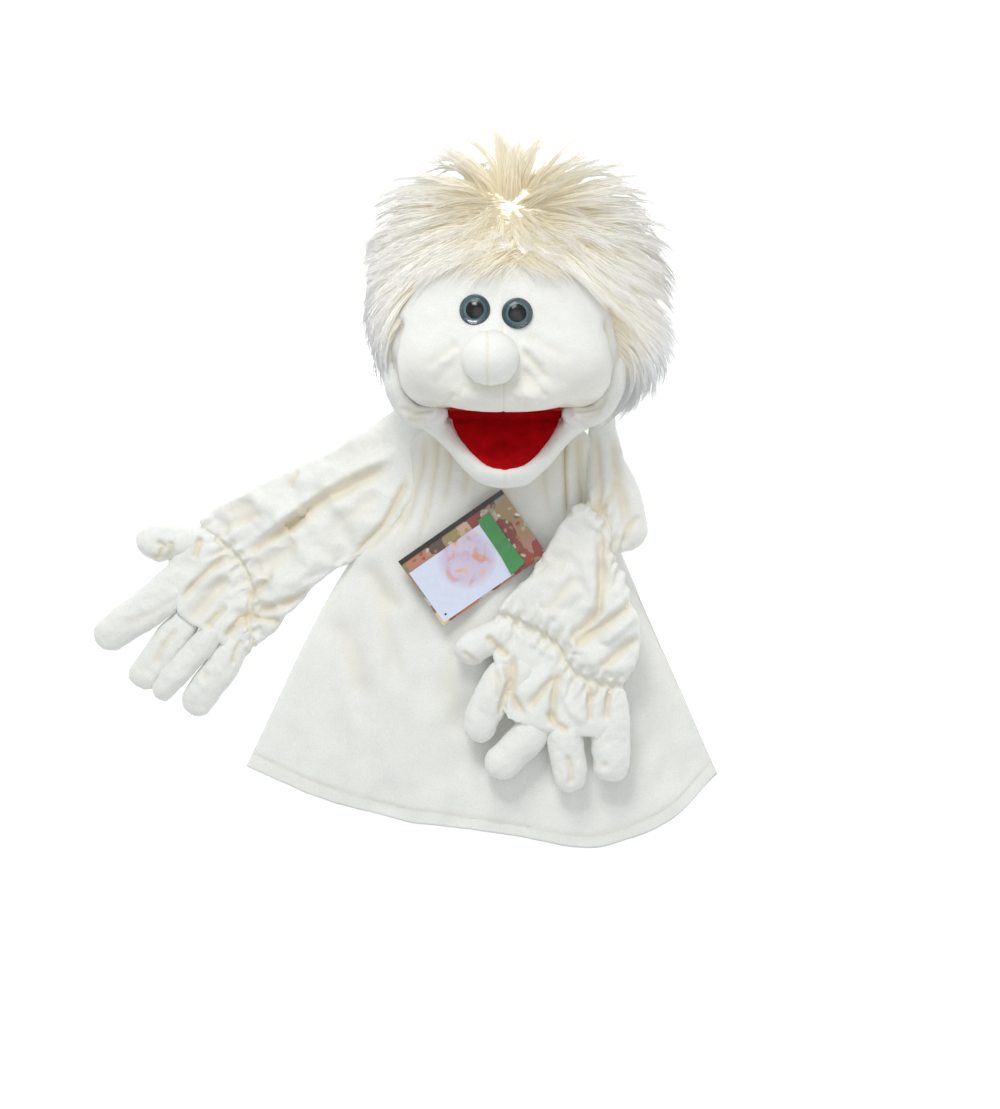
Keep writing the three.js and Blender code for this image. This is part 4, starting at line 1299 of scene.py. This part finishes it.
def plate(name, x_range, y_range, height, thickness, look, shape=None, density=1.6):
    """A thin printed leaf. height(x, y) is its underside above the tag's back; shape can bend its outline."""
    columns = int((x_range[1] - x_range[0]) / density) + 2
    rows = int((y_range[1] - y_range[0]) / density) + 2
    y, x = np.meshgrid(np.linspace(*y_range, rows), np.linspace(*x_range, columns), indexing="ij")
    z = height(x, y)
    sx, sy = shape(x, y) if shape else (x, y)
    u = (x - x_range[0]) / (x_range[1] - x_range[0])
    v = (y - y_range[0]) / (y_range[1] - y_range[0])
    top = tag_world(sx, sy, z + thickness).reshape(-1, 3)
    low = tag_world(sx, sy, z).reshape(-1, 3)
    count = len(top)
    faces = grid_faces(rows, columns)
    rim = np.r_[np.arange(columns), np.arange(1, rows) * columns + columns - 1,
                np.arange(columns - 2, -1, -1) + (rows - 1) * columns, np.arange(rows - 2, 0, -1) * columns]
    after = np.roll(rim, -1)
    walls = np.stack([rim, after, after + count, rim + count], -1)
    faces = np.concatenate([faces[:, ::-1], faces + count, walls])
    points = np.concatenate([top, low])
    o = mesh_object(name, points, faces, look, False, u=np.tile(u.ravel(), 2), v=np.tile(v.ravel(), 2))
    face_outwards(o)
    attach(o, "tag")
    return o


def tag_coordinates(tree, stretch_u, stretch_v):
    join = node(tree, "ShaderNodeCombineXYZ")
    for axis, name, stretch in (("X", "u", stretch_u), ("Y", "v", stretch_v)):
        tree.links.new(times(tree, attribute(tree, name), stretch), join.inputs[axis])
    return join.outputs[0]


def cells(tree, where, scale, randomness=1.0):
    """Irregular cells: the distance from each one's middle, and a number drawn for it."""
    n = node(tree, "ShaderNodeTexVoronoi", Scale=scale, Randomness=randomness)
    tree.links.new(where, n.inputs["Vector"])
    split = node(tree, "ShaderNodeSeparateColor")
    tree.links.new(n.outputs["Color"], split.inputs[0])
    return n.outputs["Distance"], split.outputs[0]


def booklet_nodes(tree, shader):
    """A busy, meaningless print: patches of warm and green colours with rounder spots inside them."""
    where = tag_coordinates(tree, 11.2, 7.0)
    warp = node(tree, "ShaderNodeTexNoise", Scale=0.9, Detail=3.0)
    tree.links.new(where, warp.inputs["Vector"])
    moved = node(tree, "ShaderNodeVectorMath", operation="MULTIPLY_ADD")
    tree.links.new(warp.outputs["Color"], moved.inputs[0])
    moved.inputs[1].default_value = (0.8, 0.8, 0.8)
    tree.links.new(where, moved.inputs[2])
    _, pick = cells(tree, moved.outputs[0], 0.55)
    patch = ramp(tree, pick, [
        (0.0, (0.10, 0.06, 0.045)), (0.22, (0.30, 0.04, 0.03)), (0.36, (0.42, 0.25, 0.14)),
        (0.5, (0.17, 0.23, 0.06)), (0.66, (0.36, 0.33, 0.29)), (0.8, (0.50, 0.13, 0.05)),
        (0.94, (0.60, 0.50, 0.42))])
    distance, spot_pick = cells(tree, moved.outputs[0], 1.5, 0.8)
    spot = ramp(tree, spot_pick, [
        (0.0, (0.045, 0.03, 0.025)), (0.3, (0.62, 0.52, 0.42)), (0.5, (0.35, 0.05, 0.035)),
        (0.7, (0.33, 0.40, 0.10)), (0.9, (0.75, 0.70, 0.62))])
    mask = ramp(tree, distance, [(0.22, (1, 1, 1)), (0.34, (0, 0, 0))])
    colour = mix(tree, mask, patch, spot)
    band = ramp(tree, attribute(tree, "v"), [(0.055, (0.04, 0.03, 0.04)), (0.075, (1, 1, 1))])
    colour = mix(tree, 1.0, colour, band, "MULTIPLY")
    corner = ramp(tree, attribute(tree, "u"), [(0.93, (0, 0, 0)), (0.95, (1, 1, 1))])
    low = ramp(tree, attribute(tree, "v"), [(0.80, (0, 0, 0)), (0.82, (1, 1, 1))])
    both = mix(tree, 1.0, corner, low, "MULTIPLY")
    paint(tree, shader, mix(tree, both, colour, (0.85, 0.66, 0.30)))


def card_nodes(tree, shader):
    """A pale card with a soft abstract wash of lilac, peach and brown towards its ribbon side."""
    where = tag_coordinates(tree, 7.6, 5.4)
    wash = node(tree, "ShaderNodeTexNoise", Scale=0.62, Detail=2.5, Roughness=0.5, Distortion=0.5)
    tree.links.new(where, wash.inputs["Vector"])
    tint = ramp(tree, wash.outputs["Fac"], [
        (0.0, (0.60, 0.22, 0.12)), (0.34, (0.70, 0.34, 0.24)), (0.44, (0.60, 0.54, 0.72)),
        (0.54, (0.66, 0.58, 0.74)), (0.64, (0.74, 0.50, 0.42)), (0.74, (0.30, 0.19, 0.16))])
    middle = node(tree, "ShaderNodeVectorMath", operation="DISTANCE")
    tree.links.new(where, middle.inputs[0])
    middle.inputs[1].default_value = (2.7, 1.9, 0)
    reach = times(tree, middle.outputs["Value"], 0.31)
    mask = ramp(tree, reach, [(0.62, (1, 1, 1)), (0.86, (0, 0, 0))])
    n = noise_node(tree, 260.0)
    paper = ramp(tree, n.outputs["Fac"], [(0.2, (0.66, 0.72, 0.88)), (0.8, (0.72, 0.78, 0.92))])
    paint(tree, shader, mix(tree, mask, paper, tint))


def ribbon_nodes(tree, shader):
    lines = node(tree, "ShaderNodeTexWave", Scale=60.0, Distortion=0.6, Detail=1.0, bands_direction="Y")
    tree.links.new(tag_coordinates(tree, 0.3, 1.3), lines.inputs["Vector"])
    greens = [(0.0, (0.015, 0.20, 0.03)), (1.0, (0.035, 0.32, 0.06))]
    paint(tree, shader, ramp(tree, lines.outputs["Fac"], greens))
    bumps(tree, shader, [(lines.outputs["Fac"], 0.15, 0.0003)])


booklet_look = material("printed_paper", (0.4, 0.3, 0.2), 0.32, booklet_nodes,
                        Coat_Weight=0.35, Coat_Roughness=0.15)
card_look = material("card", (0.7, 0.76, 0.9), 0.4, card_nodes, Coat_Weight=0.2, Coat_Roughness=0.2)
ribbon_look = material("ribbon", (0.03, 0.3, 0.05), 0.2, ribbon_nodes, Coat_Weight=0.6, Coat_Roughness=0.12)
page_look = material("paper_pages", (0.82, 0.80, 0.76), 0.6,
                     grain_nodes((0.76, 0.74, 0.70), (0.84, 0.82, 0.78), 400.0, 0.1, 0.0002))
# a small dark disc that stands on the cover near its corner
dark_dot_look = material("dark_dot", (0.02, 0.02, 0.03), 0.5,
                     grain_nodes((0.015, 0.015, 0.02), (0.03, 0.03, 0.04), 300.0, 0.05, 0.0001))

TAG_W = 112
TAG_H = 70


def bow(x, y):
    """The leaves' common bend, as a height over the tag's back."""
    return 0.35 * np.sin(math.pi * x / TAG_W) + 0.25 * (y / TAG_H) ** 2


def ribbon_height(x, y):
    waves = np.abs(np.sin((y - 10) / 56 * math.pi * 1.5))
    return 2.9 + bow(x, y) + 1.4 * waves * smooth(y, 12, 40)


def ribbon_flare(x, y):
    """The ribbon's loose end turns and widens."""
    k = (y - 10) / 56
    off = x - 26.5
    return x + off * (0.28 * k**3) + 1.5 * k, y + 0.22 * off * k


def build_tag():
    wide, tall = (0, TAG_W), (0, TAG_H)
    pages = plate("tag_pages", (0.8, 111.4), (0.8, 69.4), lambda x, y: 0.3 + bow(x, y), 0.8, page_look)
    cover = plate("tag_cover", wide, tall, lambda x, y: 1.3 + bow(x, y) + 0.35 * (x / TAG_W) ** 3,
                  0.35, booklet_look, density=1.0)
    back = plate("tag_back_cover", wide, tall, lambda x, y: -0.15 + bow(x, y), 0.35, booklet_look)
    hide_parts("tag_booklet")
    card = plate("tag_card_sheet", (34, 110), (14, 68),
                 lambda x, y: 2.15 + bow(x, y) + 0.5 * ((x - 72) / 38) ** 2, 0.45, card_look, density=1.0)
    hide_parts("tag_card")
    ribbon = plate("tag_ribbon_band", (20, 33), (10, 66), ribbon_height, 0.4, ribbon_look, ribbon_flare, 0.8)
    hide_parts("tag_ribbon")
    a = round_angles(18)
    circles = ((0.9, 2.9), (1.0, 3.5), (0.8, 3.6))
    rings = np.stack([tag_world(104.5 + r * np.cos(a), 62.5 + r * np.sin(a), h) for r, h in circles])
    points, faces = closed_tube(rings)
    dot = mesh_object("tag_dark_dot", points, faces, dark_dot_look)
    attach(dot, "tag")


build_tag()

# ---------------------------------------------------------------- hair

FUR = np.array([20.0, 288.0, 86.0])
PARTING = np.array([14.0, 339.0, 153.0])
STEPS = 7
FINE = np.linspace(0, 1, 6)
FACE_AT = np.array([7.0, 205.0])


def fur_radius(e):
    """Distance from the head's middle to the outside of the fur, along unit directions e."""
    low, high = np.full(e.shape[:-1], 20.0), np.full(e.shape[:-1], 320.0)
    for _ in range(24):
        r = (low + high) / 2
        q = HEAD + e * r[..., None] - FUR
        down = smooth(-q[..., 1], 0, 90)
        power = 2.3 + 0.6 * down
        half_y = np.where(q[..., 1] > 0, 130.0, 126.0)
        total = sum(np.abs(q[..., i] / half) ** power for i, half in enumerate((140, half_y, 86)))
        low = np.where(total < 1, r, low)
        high = np.where(total < 1, high, r)
    return (low + high) / 2


def unit(v):
    return v / np.maximum(np.linalg.norm(v, axis=-1, keepdims=True), 1e-9)


def hairline(p):
    """Above 1 where fur grows at the front of the head."""
    return np.hypot((p[..., 0] - FACE_AT[0]) / 99, (p[..., 1] - FACE_AT[1]) / 95)


def from_parting(p):
    """How far each point lies from the short line of the parting, seen from above."""
    return np.hypot(p[:, 0] - PARTING[0], np.clip(np.abs(p[:, 1] - 322) - 18, 0, None))


def fur_roots(count):
    e = unit(RNG.normal(size=(count * 4, 3)))
    p = HEAD + e * head_radius(e)[:, None]
    wobble = 0.03 * noise(p / 16, 71)
    grows = (p[:, 1] > 176) & ((p[:, 2] < 66) | (hairline(p) + wobble > 1.0))
    near = from_parting(p) < 34
    sparse = RNG.random(len(p)) < 0.62
    return p[grows & (sparse | (near & (p[:, 2] > 100)))][:count]


def flow(p, e):
    """Which way the pile lies: out from a short parting above the forehead."""
    front = smooth(p[:, 2], 80, 130)
    source = np.repeat(PARTING[None], len(p), 0)
    source[:, 1] = np.clip(p[:, 1] + 5, 300, PARTING[1]) * front + PARTING[1] * (1 - front)
    a = unit(source - HEAD)
    away = unit(e * (e * a).sum(1, keepdims=True) - a)
    left = smooth(-(p[:, 0] - 14), 0, 60) * smooth(p[:, 1], 250, 300) * (1 - smooth(p[:, 1], 335, 350))
    away[:, 1] += 0.35 * left
    away -= e * (away * e).sum(1, keepdims=True)
    return unit(away)


def strand_paths(roots, length, lift, bend):
    """Walks each strand over the head. bend turns it sideways a little, lift sets how far out it stands."""
    e0 = unit(roots - HEAD)
    t0 = flow(roots, e0)
    side = np.cross(e0, t0)
    t0 = unit(t0 + bend[:, None] * side)
    path = [roots - e0 * 1.5]
    p = roots.copy()
    for k in range(1, STEPS):
        part = k / (STEPS - 1)
        e = unit(p - HEAD)
        t = unit(0.55 * t0 + 0.45 * flow(p, e))
        p = p + t * (length / (STEPS - 1))[:, None]
        inside = (hairline(p) < 1.0) & (p[:, 2] > 95)
        ratio = np.where(inside, 1 / np.maximum(hairline(p), 0.2), 1)
        p[:, :2] = FACE_AT + (p[:, :2] - FACE_AT) * ratio[:, None]
        e = unit(p - HEAD)
        base = head_radius(e)
        low_right = smooth(p[:, 0], 50, 90) * (1 - smooth(p[:, 1], 200, 270))
        gap = np.maximum(fur_radius(e) - base, 9) + 12 * low_right
        r = base + gap * lift * part**0.75
        p = HEAD + e * r[:, None]
        path.append(p.copy())
    return np.stack(path, 1)


def build_hair(count=29400, locks=1700):
    lock_roots = fur_roots(locks)
    locks = len(lock_roots)
    low_side = 1 - smooth(lock_roots[:, 1], 190, 260)
    length = RNG.uniform(56, 92, locks) * (1 - 0.12 * low_side)
    lift = np.clip(RNG.normal(0.86, 0.14, locks), 0.45, 1.04)
    near = 1 - smooth(from_parting(lock_roots), 4, 26)
    near *= smooth(lock_roots[:, 2], 90, 120)
    bend = RNG.normal(0, 0.16, locks) + near * RNG.normal(0, 1.6, locks)
    length *= (1 - 0.45 * near) * (1 + 0.16 * smooth(lock_roots[:, 1], 320, 390))
    guide = strand_paths(lock_roots, length, lift, bend)
    wave = RNG.uniform(0, 6.28, locks)
    t = np.linspace(0, 1, STEPS)

    roots = fur_roots(count)
    count = len(roots)
    order = np.empty(count, int)
    for i in range(0, count, 2000):
        gaps = np.linalg.norm(roots[i:i + 2000, None] - lock_roots[None], axis=2)
        order[i:i + 2000] = gaps.argmin(1)
    offset = roots - lock_roots[order]
    loose = RNG.random(count) < 0.16
    clump = np.where(loose, RNG.uniform(-0.3, 0.3, count), RNG.uniform(0.55, 0.92, count))
    reach = np.where(loose, RNG.uniform(0.7, 1.05, count), RNG.uniform(0.72, 1.0, count))
    shrink = 1 - clump[:, None] * (t[None] ** 0.8)
    place = reach[:, None] * FINE * (STEPS - 1)
    k = np.clip(place.astype(int), 0, STEPS - 2)
    f = (place - k)[..., None]
    g = guide[order]
    rows = np.arange(count)[:, None]
    path = g[rows, k] * (1 - f) + g[rows, k + 1] * f
    before, after = (np.take_along_axis(shrink, place, 1)[..., None] for place in (k, k + 1))
    path = path + offset[:, None] * (before * (1 - f) + after * f)
    e = unit(path - HEAD)
    tangent = unit(np.gradient(path, axis=1))
    side = unit(np.cross(e, tangent))
    curl = np.sin(wave[order][:, None] + 4.5 * FINE) * 1.6 * FINE
    frizz = RNG.normal(0, 1, (count, 1)) * FINE**1.5 * np.where(loose, 7.0, 2.4)[:, None]
    frizz_up = np.abs(RNG.normal(0, 1, (count, 1))) * FINE**1.3 * np.where(loose, 5.0, 1.6)[:, None]
    path = path + side * (curl + frizz)[..., None] + e * frizz_up[..., None]
    path[..., 2] = np.maximum(path[..., 2], 2 * ABOVE_TABLE)

    tone = RNG.random(count) * 0.5 + 0.5 * np.random.default_rng(3).random(locks)[order]
    # pile at the parting is shaded by the pile round it, so its normals lean along the strands
    lean = (np.exp(-((from_parting(roots) / 24) ** 2)) * smooth(roots[:, 2], 90, 120))[:, None, None]
    e = unit(e * (1 - 0.6 * lean) + 0.9 * lean * tangent)
    strands("fur_strands", path, e, tone, RNG.uniform(0.34, 0.56, count), 1.0, 4)


def strands(name, path, e, tone, width, tip_tone, pieces):
    """Three-sided, tapering strands along paths of six points. e points away from the head at each point."""
    count = len(path)
    tangent = unit(np.gradient(path, axis=1))
    side = unit(np.cross(e, tangent))
    top = np.cross(tangent, side)
    thick = (width[:, None] * np.array([1.0, 1.0, 0.9, 0.75, 0.5, 0.0]))[..., None]
    corners = [0.5 + k * TURN / 3 for k in range(3)]
    rings = np.stack([path + side * (thick * math.cos(a)) + top * (thick * math.sin(a)) for a in corners], 2)
    # light falls on the pile as a whole, so its normals lean towards the way the head faces
    own = np.stack([side * math.cos(a) + top * math.sin(a) for a in corners], 2)
    soft = unit(0.72 * e[:, :, None] + 0.28 * own)
    ring_points = 15
    points = np.concatenate([rings[:, :5].reshape(count, ring_points, 3), path[:, 5:6]], 1)
    normals = np.concatenate([soft[:, :5].reshape(count, ring_points, 3), e[:, 5:6]], 1)
    # edge: nearness to the pile's outer rim, where the strands take a painted cool grey shade
    from_middle = np.hypot((path[..., 0] - FUR[0]) / 146, (path[..., 1] - FUR[1]) / 130)
    edge = smooth(from_middle, 0.9, 1.06)
    edge = np.concatenate([np.repeat(edge[:, :5], 3, axis=1), edge[:, 5:]], 1)
    at = np.r_[np.repeat(FINE[:5], 3), 1.0] * tip_tone
    # painted shade: strands rooted near the parting keep more of their darker root colour, as the pile round
    # them would shade them; paler lifts strands rooted far from the pile's middle towards the tip colours
    paler = 0.35 * smooth(from_middle[:, 0], 0.45, 0.8)
    parting_shade = 0.62 * np.exp(-((np.hypot(path[:, 0, 0] - PARTING[0], path[:, 0, 1] - PARTING[1]) / 26) ** 2))
    tip = np.clip(at[None] * (1 - parting_shade[:, None]) + paler[:, None], 0, 1)
    quads = grid_faces(5, 3, True)
    tips = np.array([[12 + c, 12 + (c + 1) % 3, 15] for c in range(3)])
    for i in range(pieces):
        pick = np.arange(i, count, pieces)
        base = np.arange(len(pick))[:, None, None] * (ring_points + 1)
        faces = (quads[None] + base).reshape(-1, 4).tolist() + (tips[None] + base).reshape(-1, 3).tolist()
        label = f"{name}_{i + 1}" if pieces > 1 else name
        o = mesh_object(label, points[pick].reshape(-1, 3), faces, fur_look, tip=tip[pick].ravel(),
                        tone=np.repeat(tone[pick], ring_points + 1), edge=edge[pick].ravel())
        o.data.normals_split_custom_set_from_vertices(normals[pick].reshape(-1, 3).tolist())
        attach(o, "head")
        if label == "fur_strands_1":
            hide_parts("wig_left", "wig_right", "wig_back")


def fur_nodes(tree, shader):
    tip, tone, edge = attribute(tree, "tip"), attribute(tree, "tone"), attribute(tree, "edge")
    # from root to tip: the pile's warm base colour, darkened towards the roots as painted shade deep in the
    # pile, to white tips
    along = ramp(tree, tip, [
        (0.0, (0.70, 0.60, 0.40)), (0.25, (0.86, 0.79, 0.61)), (0.55, (0.96, 0.935, 0.85)),
        (1.0, (1.0, 1.0, 0.985))])
    shade = ramp(tree, tone, [(0.0, (0.86, 0.85, 0.80)), (0.5, (1, 1, 1)), (1.0, (1, 0.985, 0.94))])
    base = mix(tree, 1.0, along, shade, "MULTIPLY")
    # painted shade: towards the outer rim the pile is mixed towards a cool grey
    colour = mix(tree, times(tree, edge, 0.45), base, (0.80, 0.85, 0.88))
    paint(tree, shader, colour)
    # painted light: the pile glows with its own colour, standing in for light that would scatter from strand
    # to strand through it
    tree.links.new(colour, shader.inputs["Emission Color"])


# painted light: the fur's emission glows at 0.3 of its colour
fur_look = material("fur", (0.85, 0.80, 0.66), 0.6, fur_nodes, Specular_IOR_Level=0.1,
                    Sheen_Weight=0.12, Sheen_Roughness=0.4, Emission_Strength=0.3)


def build_fur_backing():
    """The knitted backing that the pile grows from: the head's form, a little larger, outside the face."""
    rows, columns = 120, 160
    phi, lam = sphere_angles(rows, columns, 0.02)
    d = np.stack([np.sin(phi) * np.sin(lam), np.cos(phi), np.sin(phi) * np.cos(lam)], -1)
    p = HEAD + d * (head_radius(d) + 1.4 + 0.5 * noise(d * 30, 77))[..., None]
    faces = grid_faces(rows, columns, True)[:, ::-1]
    centre = p.reshape(-1, 3)[faces].mean(1)
    keep = (centre[:, 1] > 178) & ((centre[:, 2] < 66) | (hairline(centre) > 1.12))
    o = mesh_object("fur_backing", p.reshape(-1, 3), faces[keep], fur_look)
    for name, value in (("tip", 0.4), ("tone", 0.5), ("edge", 0.0)):
        set_values(o.data, name, np.full(len(o.data.vertices), value))
    thicken(o, 1.0, -1)
    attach(o, "head")


def build_parting(count=2600):
    """Short pile lying sideways across the parting, so that no backing shows there."""
    middle = np.stack([RNG.normal(PARTING[0], 13, count), RNG.uniform(290, 360, count)], -1)
    roots = np.stack([*middle.T, np.array([face_height(a, b) for a, b in middle])], -1)
    e = unit(roots - HEAD)
    across = np.sign(middle[:, 0] - PARTING[0] + RNG.normal(0, 9, count))
    rising = (middle[:, 1] - 332) / 34 + RNG.normal(0, 0.4, count)
    lie = np.stack([across, rising, 0 * across], -1)
    lie = unit(lie - e * (lie * e).sum(1, keepdims=True))
    side = np.cross(e, lie)
    length = RNG.uniform(22, 46, count)
    stand = RNG.uniform(0.12, 0.42, count)[:, None]
    fine = FINE[None, :, None]
    reach = length[:, None, None] * fine
    path = roots[:, None] - 1.5 * e[:, None] + reach * lie[:, None]
    # each strand follows the curve of the head and rises a little above it
    path += e[:, None] * (reach * stand[:, None] * 0.6 - reach**2 / 230)
    path += side[:, None] * (RNG.normal(0, 2.4, (count, 1, 1)) * fine**2)
    # the short pile is shaded by the longer pile round it, so its normals lean sideways
    leaning = unit(0.5 * e + 0.85 * lie)[:, None]
    # painted shade: tip_tone 0.6 keeps these short strands from reaching the whitest tip colour
    strands("fur_parting", path, leaning + 0 * path, RNG.random(count), RNG.uniform(0.2, 0.4, count), 0.6, 1)


build_fur_backing()
build_hair()
build_parting()

# ---------------------------------------------------------------- floor, light and camera

def stage_nodes(tree, shader):
    n = noise_node(tree, 6.0)
    paint(tree, shader, ramp(tree, n.outputs["Fac"], [(0.0, (0.93, 0.93, 0.93)), (1.0, (0.95, 0.95, 0.95))]))


floor_look = material("floor", (0.94, 0.94, 0.94), 0.9, stage_nodes,
                      Emission_Color=(1, 1, 1, 1), Emission_Strength=0.45)
FLOOR = 6000.0
corners = [(x * FLOOR, y * FLOOR, -0.3) for x, y in ((-1, -1), (1, -1), (1, 1), (-1, 1))]
floor = mesh_object("floor", corners, [[0, 1, 2, 3]], floor_look, False)


def area_light(name, place, target, size, power, colour=(1, 1, 1)):
    lamp = bpy.data.lights.new(name, "AREA")
    lamp.shape = "DISK"
    lamp.size = size
    lamp.energy = power
    lamp.color = colour
    o = bpy.data.objects.new(name, lamp)
    bpy.context.scene.collection.objects.link(o)
    o.location = place
    o.rotation_euler = (Vector(target) - Vector(place)).to_track_quat("-Z", "Y").to_euler()


area_light("key", (-0.35, 1.5, 1.5), (0.0, 0.05, 0.05), 0.9, 18.5, (1.0, 0.99, 0.97))
area_light("sparkle", (-0.25, 1.25, 1.6), (0.0, 0.24, 0.18), 0.16, 1.6)
area_light("fill", (0.9, -0.9, 1.7), (0.0, 0.0, 0.05), 1.4, 5, (0.97, 0.98, 1.0))
area_light("top", (0.0, 0.1, 2.2), (0.0, 0.05, 0.0), 1.6, 5)

world = bpy.data.worlds.new("studio")
world.use_nodes = True
world.node_tree.nodes["Background"].inputs["Color"].default_value = (0.97, 0.985, 1.0, 1)
world.node_tree.nodes["Background"].inputs["Strength"].default_value = 0.5
bpy.context.scene.world = world
bpy.context.scene.view_settings.view_transform = "Standard"
bpy.context.scene.view_settings.exposure = 0.0

CAMERA_HEIGHT = 2.3
VIEW_HEIGHT = 1.008
SENSOR = 36.0
camera = bpy.data.objects.new("camera", bpy.data.cameras.new("camera"))
camera.data.sensor_width = SENSOR
camera.data.lens = SENSOR * CAMERA_HEIGHT / VIEW_HEIGHT
camera.location = (0.0027, 0.0414, CAMERA_HEIGHT)
bpy.context.scene.collection.objects.link(camera)
bpy.context.scene.camera = camera
